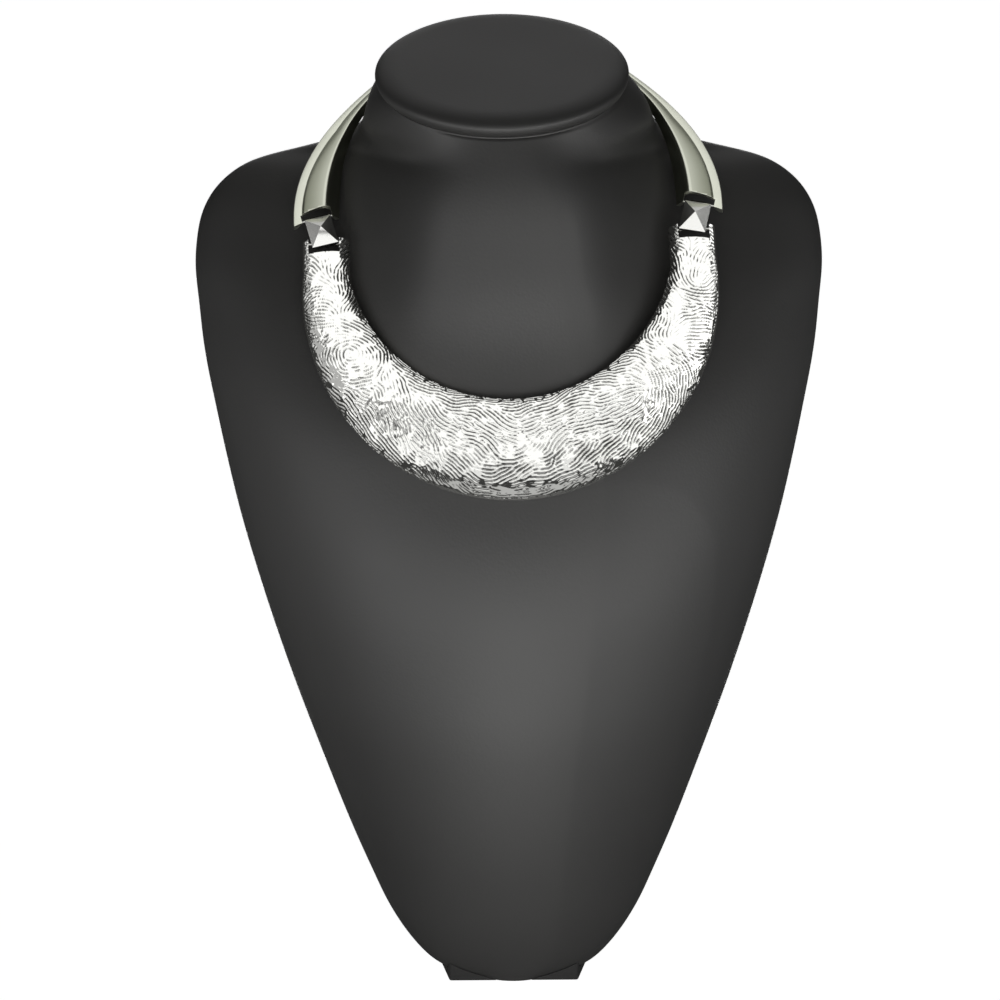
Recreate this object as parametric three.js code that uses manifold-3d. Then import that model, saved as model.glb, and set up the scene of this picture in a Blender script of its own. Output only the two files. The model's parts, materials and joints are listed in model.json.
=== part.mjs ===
// A bib collar choker closed round the neck of a leatherette display bust.
//
// Millimetres, +Z up. The front of the bust faces -Y and its right side, as seen from the front,
// is +X. The origin is on the surface that the bust stands on, under the middle of its box.
//
// The collar is built in a frame of its own, which leans back by COLLAR_LEAN: local x runs
// across, local y runs up the slope from the bib to the clasp, and local z stands up from the
// slope, out of the silver faces.

import * as THREE from 'three';
import Module from 'manifold-3d';

const wasm = await Module();
wasm.setup();

// ---------------------------------------------------------------- driving dimensions, bust

const BUST_SIDES = 44;
const BACK_POWER = 0.75; // below 1 the back is flatter than an ellipse
// One ring of the torso in each row. z: height; half: half width; side: where the widest points
// lie, front to back; chest: front of the wide chest; neck: how far the neck swells in front of
// it, over the half width reach; back: rear; tilt: the ring's forward lean in degrees, about the
// neck's axis.
const BUST_ROWS = [
  { z: 0, half: 10, side: -31, chest: -36.2, neck: 0, reach: 44, back: -25, tilt: 0 },
  { z: 2.2, half: 19.5, side: -30.5, chest: -37.6, neck: 0, reach: 44, back: -20.5, tilt: 0 },
  { z: 5.2, half: 27, side: -29.5, chest: -39.5, neck: 0, reach: 44, back: -16.5, tilt: 0 },
  { z: 11.8, half: 34.5, side: -27.3, chest: -43, neck: 0, reach: 44, back: -11, tilt: 0 },
  { z: 25, half: 44.2, side: -22, chest: -49.5, neck: 0, reach: 44, back: -2, tilt: 0 },
  { z: 38.7, half: 50.7, side: -18.5, chest: -55, neck: 0, reach: 44, back: 3.5, tilt: 0 },
  { z: 52.5, half: 56.8, side: -15, chest: -60, neck: 0, reach: 44, back: 9, tilt: 0 },
  { z: 80.2, half: 67.8, side: -8, chest: -67.5, neck: 0, reach: 44, back: 20, tilt: 0 },
  { z: 108.1, half: 78.2, side: -2, chest: -72, neck: 0, reach: 44, back: 30, tilt: 0 },
  { z: 135.9, half: 87.5, side: 4, chest: -73, neck: 0, reach: 44, back: 39, tilt: 0 },
  { z: 163.7, half: 95.7, side: 10, chest: -69.5, neck: 0, reach: 44, back: 46, tilt: 0 },
  { z: 184, half: 100.5, side: 14, chest: -63.3, neck: 0, reach: 44, back: 50.5, tilt: 0 },
  { z: 200, half: 103.8, side: 16.3, chest: -56.5, neck: 0.5, reach: 44, back: 53, tilt: 0 },
  { z: 212, half: 106.2, side: 18, chest: -48.5, neck: 3, reach: 44, back: 54.5, tilt: 0 },
  { z: 222, half: 107.8, side: 19.8, chest: -40.3, neck: 8, reach: 43.5, back: 55.7, tilt: 0 },
  { z: 233.4, half: 109, side: 22.3, chest: -30.2, neck: 15, reach: 43.5, back: 57, tilt: 0 },
  { z: 247.2, half: 110.3, side: 25.3, chest: -16.8, neck: 27.5, reach: 44.5, back: 58, tilt: 0 },
  { z: 260.9, half: 108.9, side: 28.8, chest: -1.8, neck: 39.8, reach: 45, back: 58, tilt: 0 },
  { z: 271, half: 104.4, side: 31.5, chest: 6.8, neck: 47, reach: 45.6, back: 57, tilt: 0 },
  { z: 277.2, half: 98.2, side: 33, chest: 14.5, neck: 53.6, reach: 46, back: 55.7, tilt: 0 },
  { z: 281.4, half: 91.1, side: 33.5, chest: 20.6, neck: 58.8, reach: 46.5, back: 54.2, tilt: 0 },
  { z: 284.8, half: 78.3, side: 35.5, chest: 30.5, neck: 68, reach: 48, back: 52, tilt: 0 },
  { z: 286.9, half: 66.8, side: 36.6, chest: 26, neck: 62.8, reach: 48, back: 49.7, tilt: 1 },
  { z: 288.9, half: 56.5, side: 36.8, chest: 10, neck: 46, reach: 48, back: 47.9, tilt: 2.5 },
  { z: 291.6, half: 51.9, side: 38.5, chest: -5.5, neck: 30.1, reach: 48, back: 45.7, tilt: 5 },
  { z: 295, half: 50.1, side: 21, chest: -14, neck: 20.9, reach: 48, back: 43.7, tilt: 8 },
  { z: 300, half: 48.2, side: 16, chest: -20, neck: 14, reach: 48, back: 41.7, tilt: 12.5 },
  { z: 305.5, half: 45.6, side: 11, chest: -25.5, neck: 7.2, reach: 48, back: 40.3, tilt: 17 },
  { z: 312, half: 41.2, side: 4.5, chest: -31.6, neck: 0, reach: 48, back: 39.4, tilt: 21 },
];

const NECK_LEAN = -1.9; // the top of the neck leans this far to its left
const NECK_BASE = 297;
const CAP_Y = 4.7; // the neck's axis
const CAP_Z = 312.4; // middle of the cap's underside
const CAP_TILT = 21; // degrees
const CAP_HALF_WIDTH = 43;
const CAP_HALF_DEPTH = 41.5;
const CAP_THICKNESS = 6.6;
const CAP_ROLL_TOP = 7; // how far in the padded rim rolls, above and below
const CAP_ROLL_UNDER = 2.8;
const CAP_SIDES = 44;

const FOOT_FRONT_Y = -36;
const FOOT_REAR_Y = 71;
const FOOT_FRONT_HALF = 22.8;
const FOOT_REAR_HALF = 45;
const FOOT_HEIGHT = 18;
const FOOT_ROUND = 1.2;

const SEAT_GAP = 1; // level gap round the torso's foot, whose flanks lean far out

// -------------------------------------------------------------- driving dimensions, collar

const COLLAR_LEAN = 45; // degrees, front low
const COLLAR_ROLL = 1.9; // degrees, its right side sits a little higher than its left
const COLLAR_Y = -6;
const COLLAR_Z = 261.8;
const SLOPE_STRETCH = 1.188; // the rims are ovals, longer down the slope than across

const INNER_RIM = 55.8;
const OUTER_RIM = 70.5;
const OUTER_RIM_DROP = 17.8; // the outer rim's centre lies this far below the inner rim's
const BIB_HALF_TURN = 89.3; // degrees from the bottom of the bib to each end
const BIB_END_INNER = 54.1; // its two ends run straight up the slope between these half widths
const BIB_END_OUTER = 70.2;
const BIB_STRAIGHT_FROM = 80.5;
const BIB_FLARE = 14.2; // how far the outer rim falls below the collar's slope, at the bottom
const BIB_TUCK = 0.577; // and how far it tucks in for each millimetre that it falls
const BIB_RISE_END = 4.2;
const BIB_RISE_MIDDLE = 6.8;
const BIB_STEPS = 52;
const BIB_FACE_STEPS = 12;
const BIB_BACK_STEPS = 8;
const PLATE_WALL = 1.2;

const LINK_X = 63.5;
const LINK_SLOPE_Y = 2.1;
const LINK_TURN = 13.5; // degrees, the links splay outwards
const LINK_WIDTH = 9;
const LINK_LENGTH = 11.8;
const LINK_BASE_LOW = 0.9;
const LINK_BASE_HIGH = 3;
const LINK_PEAK = 5.8;

const NOTCH_HALF = 5.3;
const BIB_NOTCH_X = 62.7;
const BIB_NOTCH_FLOOR = -6.8;
const BIB_PIN_SLOPE_Y = -2.3;
const BIB_PIN_HALF = 5.9;

const BAR_X = 65.5; // half axes and centre of the side bars' oval
const BAR_SLOPE = 72.5;
const BAR_CENTRE = 10;
const BAR_START = -8; // degrees along that oval
const BAR_END = 64;
const BAR_WIDTH_FRONT = 15.6;
const BAR_WIDTH_BACK = 4.8;
const BAR_TAPER_START = 0;
const BAR_TAPER_END = 48;
const BAR_LIP = 3.1; // flat lip along the outer edge
const BAR_LIP_SHARE = 0.35; // and its greatest share of the bar's width
const BAR_WALL_SHARE = 0.24;
const BAR_STEPS = 22;
const BAR_CUT = 5.3; // the bars end square to the links, this far from a link's middle
const BAR_NOTCH_FLOOR = 8.5;
const BAR_NOTCH_SHIFT = 0.2;
const BAR_PIN = 6.4;
const BAR_PIN_HALF = 5.9;

const PIN_RADIUS = 0.4;
const PIN_HOLE_RADIUS = 0.68;
const PIN_HEIGHT = 1.35;
const PIN_END_GAP = 0.3; // the pins end in blind holes
const BARREL_RADIUS = 1.05;
const BARREL_HALF = 2.6;

const TAB_RADIUS = 2.8;
const TAB_HOLE = 1.65;
const TAB_THICKNESS = 0.9;

const LINK_OUTER_LENGTH = 6.3;
const LINK_OUTER_WIDTH = 4;
const LINK_WIRE = 0.9;
const LINK_GAP = 0.5;
const LINKS_PER_SIDE = 5;
const CHAIN_SAG = 1; // below the collar's slope, in the middle
const CHAIN_PULL = 3.4; // towards the neck, in the middle

const CLASP_EYE_HOLE = 1.6;
const CLASP_EYE_TO_LOOP = 6.6;
const CLASP_LOOP_HALF = 3;
const CLASP_LOOP_WIDE = 1.9;
const CLASP_THICKNESS = 0.9;

// ------------------------------------------------------------------------------- materials

const leatherette = new THREE.MeshStandardMaterial({ color: '#3b3a38', roughness: 0.55 });
const chrome = new THREE.MeshStandardMaterial({ color: '#d9d9d6', roughness: 0.14, metalness: 1 });
const satinSilver = new THREE.MeshStandardMaterial({
  color: '#b7baa6',
  roughness: 0.32,
  metalness: 1,
});
const steel = new THREE.MeshStandardMaterial({ color: '#b9b9b6', roughness: 0.25, metalness: 1 });

// --------------------------------------------------------------------------- small helpers

const radians = (degrees) => THREE.MathUtils.degToRad(degrees);

function meshOf(name, geometry, material) {
  const mesh = new THREE.Mesh(geometry, material);
  mesh.name = name;
  return mesh;
}

function signedVolume(points, faces) {
  let volume = 0;
  for (const [a, b, c] of faces) {
    volume += points[a].dot(new THREE.Vector3().crossVectors(points[b], points[c])) / 6;
  }
  return volume;
}

function closedGeometry(points, faces) {
  const inward = signedVolume(points, faces) < 0;
  const index = faces.flatMap(([a, b, c]) => (inward ? [a, c, b] : [a, b, c]));
  const geometry = new THREE.BufferGeometry().setFromPoints(points);
  geometry.setIndex(index);
  return geometry;
}

// A closed body through rings of equally many points; outline is the flat shape of a ring,
// which says how the two ends are filled.
function sweep(rings, outline) {
  const count = rings[0].length;
  const points = rings.flat();
  const faces = [];
  for (let r = 0; r < rings.length - 1; r += 1) {
    for (let i = 0; i < count; i += 1) {
      const a = r * count + i;
      const b = r * count + ((i + 1) % count);
      faces.push([a, b, b + count], [a, b + count, a + count]);
    }
  }
  const lid = THREE.ShapeUtils.triangulateShape(outline, []);
  const clockwise = THREE.ShapeUtils.isClockWise(outline);
  const last = (rings.length - 1) * count;
  for (const [a, b, c] of lid) {
    const [p, q] = clockwise ? [b, c] : [c, b];
    faces.push([a, p, q], [last + a, last + q, last + p]);
  }
  return closedGeometry(points, faces);
}

function solidOf(geometry) {
  const source = geometry.index ? geometry : null;
  const position = geometry.attributes.position;
  const merged = new Map();
  const vertices = [];
  const slot = [];
  for (let i = 0; i < position.count; i += 1) {
    const p = [position.getX(i), position.getY(i), position.getZ(i)];
    const key = p.map((value) => Math.round(value * 1e4)).join();
    if (!merged.has(key)) {
      merged.set(key, vertices.length / 3);
      vertices.push(...p);
    }
    slot.push(merged.get(key));
  }
  const order = source ? Array.from(geometry.index.array) : slot.map((_, i) => i);
  const triangles = [];
  for (let i = 0; i < order.length; i += 3) {
    const [a, b, c] = [slot[order[i]], slot[order[i + 1]], slot[order[i + 2]]];
    if (a !== b && b !== c && c !== a) triangles.push(a, b, c);
  }
  return new wasm.Manifold(
    new wasm.Mesh({
      numProp: 3,
      vertProperties: new Float32Array(vertices),
      triVerts: new Uint32Array(triangles),
    }),
  );
}

function geometryOf(solid) {
  const mesh = solid.getMesh();
  const geometry = new THREE.BufferGeometry();
  const positions = new Float32Array(mesh.numVert * 3);
  for (let i = 0; i < mesh.numVert; i += 1) {
    for (let k = 0; k < 3; k += 1) {
      positions[3 * i + k] = mesh.vertProperties[mesh.numProp * i + k];
    }
  }
  geometry.setAttribute('position', new THREE.BufferAttribute(positions, 3));
  geometry.setIndex(new THREE.BufferAttribute(mesh.triVerts, 1));
  return geometry;
}

function box(low, high) {
  const size = high.clone().sub(low);
  const geometry = new THREE.BoxGeometry(size.x, size.y, size.z);
  return geometry.translate(...low.clone().add(high).multiplyScalar(0.5).toArray());
}

// A cylinder along local x, from one x to another.
function rod(radius, from, to, y, z, sides) {
  const geometry = new THREE.CylinderGeometry(radius, radius, to - from, sides);
  return geometry.rotateZ(Math.PI / 2).translate((from + to) / 2, y, z);
}

const vector = (x, y, z) => new THREE.Vector3(x, y, z);
const smoothStep = (t) => THREE.MathUtils.smoothstep(t, 0, 1);

// ------------------------------------------------------------------------------------ bust

function bustRing(row, grow) {
  const lean = NECK_LEAN * smoothStep((row.z - NECK_BASE) / (CAP_Z - NECK_BASE));
  const ring = [];
  for (let i = 0; i < BUST_SIDES; i += 1) {
    const turn = (2 * Math.PI * i) / BUST_SIDES;
    const depth = Math.abs(Math.sin(turn));
    const x = (row.half + grow) * Math.cos(turn);
    const swell = row.neck * Math.exp(-((x / row.reach) ** 4));
    const forward = row.side - row.chest + swell + grow;
    const behind = row.back - row.side + grow;
    const y =
      Math.sin(turn) < 0 ? row.side - forward * depth : row.side + behind * depth ** BACK_POWER;
    ring.push(vector(x + lean, y, row.z + (y - CAP_Y) * Math.tan(radians(row.tilt))));
  }
  return ring;
}

function bustGeometry(grow, rows) {
  const rings = rows.map((row) => bustRing(row, grow));
  rings[0].forEach((point) => point.setZ(point.z - grow));
  return sweep(rings, rings[0].map((point) => new THREE.Vector2(point.x, point.y)));
}

function neckCap() {
  const half = CAP_THICKNESS / 2;
  const profile = [new THREE.Vector2(0, 0)];
  for (let i = 0; i <= 8; i += 1) {
    const turn = (Math.PI * i) / 8;
    const roll = i < 4 ? CAP_ROLL_UNDER : CAP_ROLL_TOP;
    const radius = CAP_HALF_WIDTH - roll * (1 - Math.sin(turn));
    profile.push(new THREE.Vector2(radius, half - half * Math.cos(turn)));
  }
  profile.push(new THREE.Vector2(0, CAP_THICKNESS));
  const geometry = new THREE.LatheGeometry(profile, CAP_SIDES);
  geometry.rotateX(Math.PI / 2);
  geometry.scale(1, CAP_HALF_DEPTH / CAP_HALF_WIDTH, 1);
  const cap = meshOf('neck_cap', geometryOf(solidOf(geometry)), leatherette);
  cap.position.set(NECK_LEAN, CAP_Y, CAP_Z);
  cap.rotation.x = radians(CAP_TILT);
  return cap;
}

function foot() {
  const plan = new THREE.Shape();
  plan.moveTo(-FOOT_FRONT_HALF + FOOT_ROUND, FOOT_FRONT_Y + FOOT_ROUND);
  plan.lineTo(FOOT_FRONT_HALF - FOOT_ROUND, FOOT_FRONT_Y + FOOT_ROUND);
  plan.lineTo(FOOT_REAR_HALF - FOOT_ROUND, FOOT_REAR_Y - FOOT_ROUND);
  plan.lineTo(-FOOT_REAR_HALF + FOOT_ROUND, FOOT_REAR_Y - FOOT_ROUND);
  plan.closePath();
  const block = new THREE.ExtrudeGeometry(plan, {
    depth: FOOT_HEIGHT - 2 * FOOT_ROUND,
    bevelSize: FOOT_ROUND,
    bevelThickness: FOOT_ROUND,
    bevelSegments: 3,
  });
  block.translate(0, 0, FOOT_ROUND);
  const torsoEnd = BUST_ROWS.filter((row) => row.z < 2.5 * FOOT_HEIGHT);
  const seat = solidOf(bustGeometry(SEAT_GAP, torsoEnd));
  return meshOf('bust_foot', geometryOf(solidOf(block).subtract(seat)), leatherette);
}

// -------------------------------------------------------------------------------- bib plate

function rimPoint(turn, radius, fall) {
  const slopeY = -SLOPE_STRETCH * radius * Math.cos(turn) + BIB_TUCK * fall;
  return vector(radius * Math.sin(turn), slopeY, -fall);
}

function innerRim(turn) {
  const straight = BIB_END_INNER / Math.abs(Math.sin(turn));
  return rimPoint(turn, Math.min(INNER_RIM, straight), 0);
}

function outerRim(turn) {
  const across = OUTER_RIM_DROP * Math.sin(turn);
  const straight = BIB_END_OUTER / Math.abs(Math.sin(turn));
  let radius = OUTER_RIM_DROP * Math.cos(turn) + Math.sqrt(OUTER_RIM ** 2 - across ** 2);
  if (Math.abs(turn) > radians(BIB_STRAIGHT_FROM)) radius = Math.max(radius, straight);
  return rimPoint(turn, radius, BIB_FLARE * Math.max(0, Math.cos(turn)));
}

function bibFrame(turn) {
  const inner = innerRim(turn);
  const outer = outerRim(turn);
  const step = 0.01;
  const along = innerRim(turn + step).add(outerRim(turn + step));
  along.sub(innerRim(turn - step)).sub(outerRim(turn - step));
  const across = outer.clone().sub(inner);
  const width = across.length();
  across.normalize();
  const up = across.clone().cross(along).normalize();
  if (up.z < 0) up.negate();
  return { inner, across, up, width };
}

// The plate's dome: flat-topped, falling steeply to both rims.
const domeHeight = (share) => Math.sqrt(1 - Math.abs(2 * share - 1) ** 2.4);

function domeOutline(width, rise) {
  const outline = [];
  for (let i = 0; i <= BIB_FACE_STEPS; i += 1) {
    const share = (1 - Math.cos((Math.PI * i) / BIB_FACE_STEPS)) / 2;
    outline.push(new THREE.Vector2(width * share, rise * domeHeight(share)));
  }
  for (let i = BIB_BACK_STEPS; i >= 0; i -= 1) {
    const share = (1 - Math.cos((Math.PI * i) / BIB_BACK_STEPS)) / 2;
    const across = PLATE_WALL + (width - 2 * PLATE_WALL) * share;
    outline.push(new THREE.Vector2(across, (rise - PLATE_WALL) * domeHeight(share)));
  }
  return outline;
}

function bibPlate() {
  const end = radians(BIB_HALF_TURN);
  const rings = [];
  let outline;
  for (let i = 0; i <= BIB_STEPS; i += 1) {
    const turn = -end + (2 * end * i) / BIB_STEPS;
    const { inner, across, up, width } = bibFrame(turn);
    const rise = BIB_RISE_END + (BIB_RISE_MIDDLE - BIB_RISE_END) * Math.cos(turn) ** 2;
    outline = domeOutline(width, rise);
    rings.push(
      outline.map((p) => inner.clone().addScaledVector(across, p.x).addScaledVector(up, p.y)),
    );
  }
  let plate = solidOf(sweep(rings, outline));
  for (const side of [-1, 1]) {
    const middle = side * BIB_NOTCH_X;
    const low = vector(middle - NOTCH_HALF, BIB_NOTCH_FLOOR, -3);
    const notch = box(low, vector(middle + NOTCH_HALF, 12, 12));
    const reach = BIB_PIN_HALF + PIN_END_GAP;
    const hole = rod(PIN_HOLE_RADIUS, middle - reach, middle + reach, BIB_PIN_SLOPE_Y, PIN_HEIGHT, 12);
    plate = plate.subtract(solidOf(notch)).subtract(solidOf(hole));
  }
  return meshOf('bib_plate', geometryOf(plate), chrome);
}

// -------------------------------------------------------------------- pyramid links and pins

// Places a geometry built round a link's middle, its length along y, on one side.
function toLink(geometry, side) {
  return geometry.rotateZ(-side * radians(LINK_TURN)).translate(side * LINK_X, LINK_SLOPE_Y, 0);
}

function pyramidLink(name, side) {
  const height = LINK_PEAK - LINK_BASE_HIGH;
  const pyramid = new THREE.ConeGeometry(Math.SQRT1_2, height, 4);
  pyramid.rotateY(Math.PI / 4).rotateX(Math.PI / 2);
  pyramid.scale(LINK_WIDTH, LINK_LENGTH, 1).translate(0, 0, LINK_BASE_HIGH + height / 2);
  const edge = vector(LINK_WIDTH / 2, LINK_LENGTH / 2, LINK_BASE_HIGH);
  const base = box(vector(-edge.x, -edge.y, LINK_BASE_LOW), edge);
  let link = solidOf(toLink(pyramid, side)).add(solidOf(toLink(base, side)));
  const rearBarrel = rod(BARREL_RADIUS, -BARREL_HALF, BARREL_HALF, BAR_PIN, PIN_HEIGHT, 12);
  const rearHole = rod(PIN_HOLE_RADIUS, -9, 9, BAR_PIN, PIN_HEIGHT, 12);
  const middle = side * (LINK_X + 0.4);
  const frontBarrel = rod(
    BARREL_RADIUS, middle - BARREL_HALF, middle + BARREL_HALF, BIB_PIN_SLOPE_Y, PIN_HEIGHT, 12,
  );
  const frontHole = rod(PIN_HOLE_RADIUS, middle - 9, middle + 9, BIB_PIN_SLOPE_Y, PIN_HEIGHT, 12);
  link = link.add(solidOf(toLink(rearBarrel, side))).add(solidOf(frontBarrel));
  link = link.subtract(solidOf(toLink(rearHole, side))).subtract(solidOf(frontHole));
  return meshOf(name, geometryOf(link), chrome);
}

function hingePins() {
  const pins = [];
  for (const [side, hand] of [[-1, 'left'], [1, 'right']]) {
    const middle = side * BIB_NOTCH_X;
    const front = rod(
      PIN_RADIUS, middle - BIB_PIN_HALF, middle + BIB_PIN_HALF, BIB_PIN_SLOPE_Y, PIN_HEIGHT, 10,
    );
    const shift = side * BAR_NOTCH_SHIFT;
    const rear = toLink(
      rod(PIN_RADIUS, shift - BAR_PIN_HALF, shift + BAR_PIN_HALF, BAR_PIN, PIN_HEIGHT, 10), side,
    );
    pins.push(meshOf(`${hand}_front_pin`, geometryOf(solidOf(front)), steel));
    pins.push(meshOf(`${hand}_rear_pin`, geometryOf(solidOf(rear)), steel));
  }
  return pins;
}

// -------------------------------------------------------------------------------- side bars

// The bar's face from its outer edge inwards. lip: share of the flat lip; across: share of the
// rest of its width; up: share of its height.
const BAR_FACE = [
  { lip: 0, across: 0, up: 0 },
  { lip: 0.13, across: 0, up: 0.34 },
  { lip: 0.8, across: 0, up: 0.5 },
  { lip: 1, across: 0, up: 0.46 },
  { lip: 1, across: 0.06, up: 0.7 },
  { lip: 1, across: 0.25, up: 0.86 },
  { lip: 1, across: 0.46, up: 0.97 },
  { lip: 1, across: 0.62, up: 1 },
  { lip: 1, across: 0.7, up: 0.95 },
  { lip: 1, across: 0.85, up: 0.5 },
  { lip: 1, across: 1, up: 0 },
];
const BAR_BACK = [10, 8, 7, 5, 2, 0]; // points of the face that the hollow back follows

function barOutline(width, rise) {
  const lip = Math.min(BAR_LIP, width * BAR_LIP_SHARE);
  const wall = Math.min(PLATE_WALL, width * BAR_WALL_SHARE);
  const outline = BAR_FACE.map(
    (point) => new THREE.Vector2(point.lip * lip + point.across * (width - lip), point.up * rise),
  );
  for (const i of BAR_BACK) {
    const across = wall + (outline[i].x * (width - 2 * wall)) / width;
    outline.push(new THREE.Vector2(across, (outline[i].y * (rise - wall)) / rise));
  }
  return outline;
}

function barMiddle(turn) {
  return vector(BAR_X * Math.cos(turn), BAR_CENTRE + BAR_SLOPE * Math.sin(turn), 0);
}

const barAlong = (turn) =>
  vector(-BAR_X * Math.sin(turn), BAR_SLOPE * Math.cos(turn), 0).normalize();

function sideBar(name, side) {
  const rings = [];
  let outline;
  for (let i = 0; i <= BAR_STEPS; i += 1) {
    const degrees = BAR_START + ((BAR_END - BAR_START) * i) / BAR_STEPS;
    const turn = radians(degrees);
    const taper = smoothStep((degrees - BAR_TAPER_START) / (BAR_TAPER_END - BAR_TAPER_START));
    const width = BAR_WIDTH_FRONT + (BAR_WIDTH_BACK - BAR_WIDTH_FRONT) * taper;
    const rise = 1.6 + 0.225 * width;
    const along = barAlong(turn);
    const outward = vector(along.y, -along.x, 0);
    const outer = barMiddle(turn).addScaledVector(outward, width / 2);
    outline = barOutline(width, rise);
    rings.push(
      outline.map((p) => {
        const point = outer.clone().addScaledVector(outward, -p.x);
        return vector(side * point.x, point.y, p.y);
      }),
    );
  }
  let bar = solidOf(sweep(rings, outline));

  const far = 30;
  const end = box(vector(-far, -far, -5), vector(far, BAR_CUT, 20));
  const shift = side * BAR_NOTCH_SHIFT;
  const notch = box(
    vector(shift - NOTCH_HALF, -far, -5), vector(shift + NOTCH_HALF, BAR_NOTCH_FLOOR, 20),
  );
  const reach = BAR_PIN_HALF + PIN_END_GAP;
  const hole = rod(PIN_HOLE_RADIUS, shift - reach, shift + reach, BAR_PIN, PIN_HEIGHT, 12);
  for (const cut of [end, notch, hole]) {
    bar = bar.subtract(solidOf(toLink(cut, side)));
  }

  const tail = tabCentre(side);
  const eye = new THREE.CylinderGeometry(TAB_RADIUS, TAB_RADIUS, TAB_THICKNESS, 20);
  eye.rotateX(Math.PI / 2).translate(tail.x, tail.y, TAB_THICKNESS / 2);
  const eyeHole = new THREE.CylinderGeometry(TAB_HOLE, TAB_HOLE, 8, 16);
  eyeHole.rotateX(Math.PI / 2).translate(tail.x, tail.y, 0);
  bar = bar.add(solidOf(eye)).subtract(solidOf(eyeHole));
  return meshOf(name, geometryOf(bar), satinSilver);
}

function tabCentre(side) {
  const turn = radians(BAR_END);
  const centre = barMiddle(turn).addScaledVector(barAlong(turn), TAB_RADIUS - 0.3);
  return vector(side * centre.x, centre.y, TAB_THICKNESS / 2);
}

// ----------------------------------------------------------------------------------- chain

// The chain's way from the left eye to the right one, round the back of the neck.
class ChainWay extends THREE.Curve {
  getPoint(t, target = new THREE.Vector3()) {
    const from = tabCentre(-1);
    const dip = 4 * t * (1 - t);
    const x = from.x * (1 - 2 * t);
    return target.set(x, from.y - CHAIN_PULL * dip, from.z - CHAIN_SAG * dip);
  }
}

// A ring of wire whose length runs along x, lying in the xy plane.
function wireLink() {
  const straight = (LINK_OUTER_LENGTH - LINK_OUTER_WIDTH) / 2;
  const bend = (LINK_OUTER_WIDTH - LINK_WIRE) / 2;
  const steps = 12;
  const sides = 6;
  const points = [];
  for (let i = 0; i < steps; i += 1) {
    const turn = (2 * Math.PI * (i + 0.5)) / steps;
    const out = vector(Math.cos(turn), Math.sin(turn), 0);
    const middle = out.clone().multiplyScalar(bend);
    middle.x += straight * Math.sign(out.x);
    for (let j = 0; j < sides; j += 1) {
      const round = (2 * Math.PI * j) / sides;
      const point = middle.clone().addScaledVector(out, (LINK_WIRE / 2) * Math.cos(round));
      points.push(point.setZ((LINK_WIRE / 2) * Math.sin(round)));
    }
  }
  const faces = [];
  for (let i = 0; i < steps; i += 1) {
    for (let j = 0; j < sides; j += 1) {
      const next = (i + 1) % steps;
      const [a, b] = [i * sides + j, i * sides + ((j + 1) % sides)];
      const [c, d] = [next * sides + ((j + 1) % sides), next * sides + j];
      faces.push([a, b, c], [a, c, d]);
    }
  }
  return closedGeometry(points, faces);
}

// A flat closed clasp: an eye at x = 0 and a long loop further along x.
function claspGeometry() {
  const band = 1.2;
  const eye = CLASP_EYE_HOLE + band;
  const loop = CLASP_LOOP_HALF - CLASP_LOOP_WIDE;
  const wide = CLASP_LOOP_WIDE + band;
  const outline = new THREE.Shape();
  outline.absarc(0, 0, eye, Math.PI / 3, (5 * Math.PI) / 3, false);
  outline.lineTo(CLASP_EYE_TO_LOOP - loop, -wide);
  outline.absarc(CLASP_EYE_TO_LOOP + loop, 0, wide, -Math.PI / 2, Math.PI / 2, false);
  outline.lineTo(CLASP_EYE_TO_LOOP - loop, wide);
  outline.closePath();
  const eyeHole = new THREE.Path().absarc(0, 0, CLASP_EYE_HOLE, 0, 2 * Math.PI, true);
  const loopHole = new THREE.Path();
  loopHole.absarc(CLASP_EYE_TO_LOOP + loop, 0, CLASP_LOOP_WIDE, Math.PI / 2, -Math.PI / 2, true);
  loopHole.absarc(CLASP_EYE_TO_LOOP - loop, 0, CLASP_LOOP_WIDE, -Math.PI / 2, Math.PI / 2, true);
  outline.holes.push(eyeHole, loopHole);
  const geometry = new THREE.ExtrudeGeometry(outline, {
    depth: CLASP_THICKNESS,
    bevelEnabled: false,
    curveSegments: 8,
  });
  return geometryOf(solidOf(geometry.translate(0, 0, -CLASP_THICKNESS / 2)));
}

function chain() {
  const reach = LINK_OUTER_LENGTH / 2 - LINK_WIRE;
  const fromTab = TAB_HOLE + reach - LINK_GAP;
  const pitch = 2 * reach - LINK_GAP;
  const steps = [fromTab];
  for (let i = 1; i < LINKS_PER_SIDE; i += 1) steps.push(pitch);
  steps.push(CLASP_EYE_HOLE + reach - LINK_GAP);
  steps.push(CLASP_EYE_TO_LOOP + CLASP_LOOP_HALF + reach - LINK_GAP);
  for (let i = 1; i < LINKS_PER_SIDE; i += 1) steps.push(pitch);
  const total = steps.reduce((sum, step) => sum + step, fromTab);

  const way = new ChainWay();
  const pieces = [];
  let travelled = 0;
  let count = 0;
  steps.forEach((step, i) => {
    travelled += step;
    const t = travelled / total;
    const at = way.getPointAt(t);
    const along = way.getTangentAt(t);
    const flatwise = vector(0, 0, 1);
    const side = flatwise.clone().cross(along).normalize();
    const up = along.clone().cross(side);
    let piece;
    if (i === LINKS_PER_SIDE) {
      piece = meshOf('clasp', claspGeometry(), steel);
    } else {
      count += 1;
      piece = meshOf(`chain_link_${String(count).padStart(2, '0')}`, wireLink(), steel);
    }
    const onEdge = i < LINKS_PER_SIDE ? i % 2 === 0 : i > LINKS_PER_SIDE && (i - 1) % 2 === 1;
    const basis = new THREE.Matrix4();
    if (onEdge) basis.makeBasis(along, up, side.clone().negate());
    else basis.makeBasis(along, side, up);
    piece.quaternion.setFromRotationMatrix(basis);
    piece.position.copy(at);
    pieces.push(piece);
  });
  return pieces;
}

// --------------------------------------------------------------------------------- assembly

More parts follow.
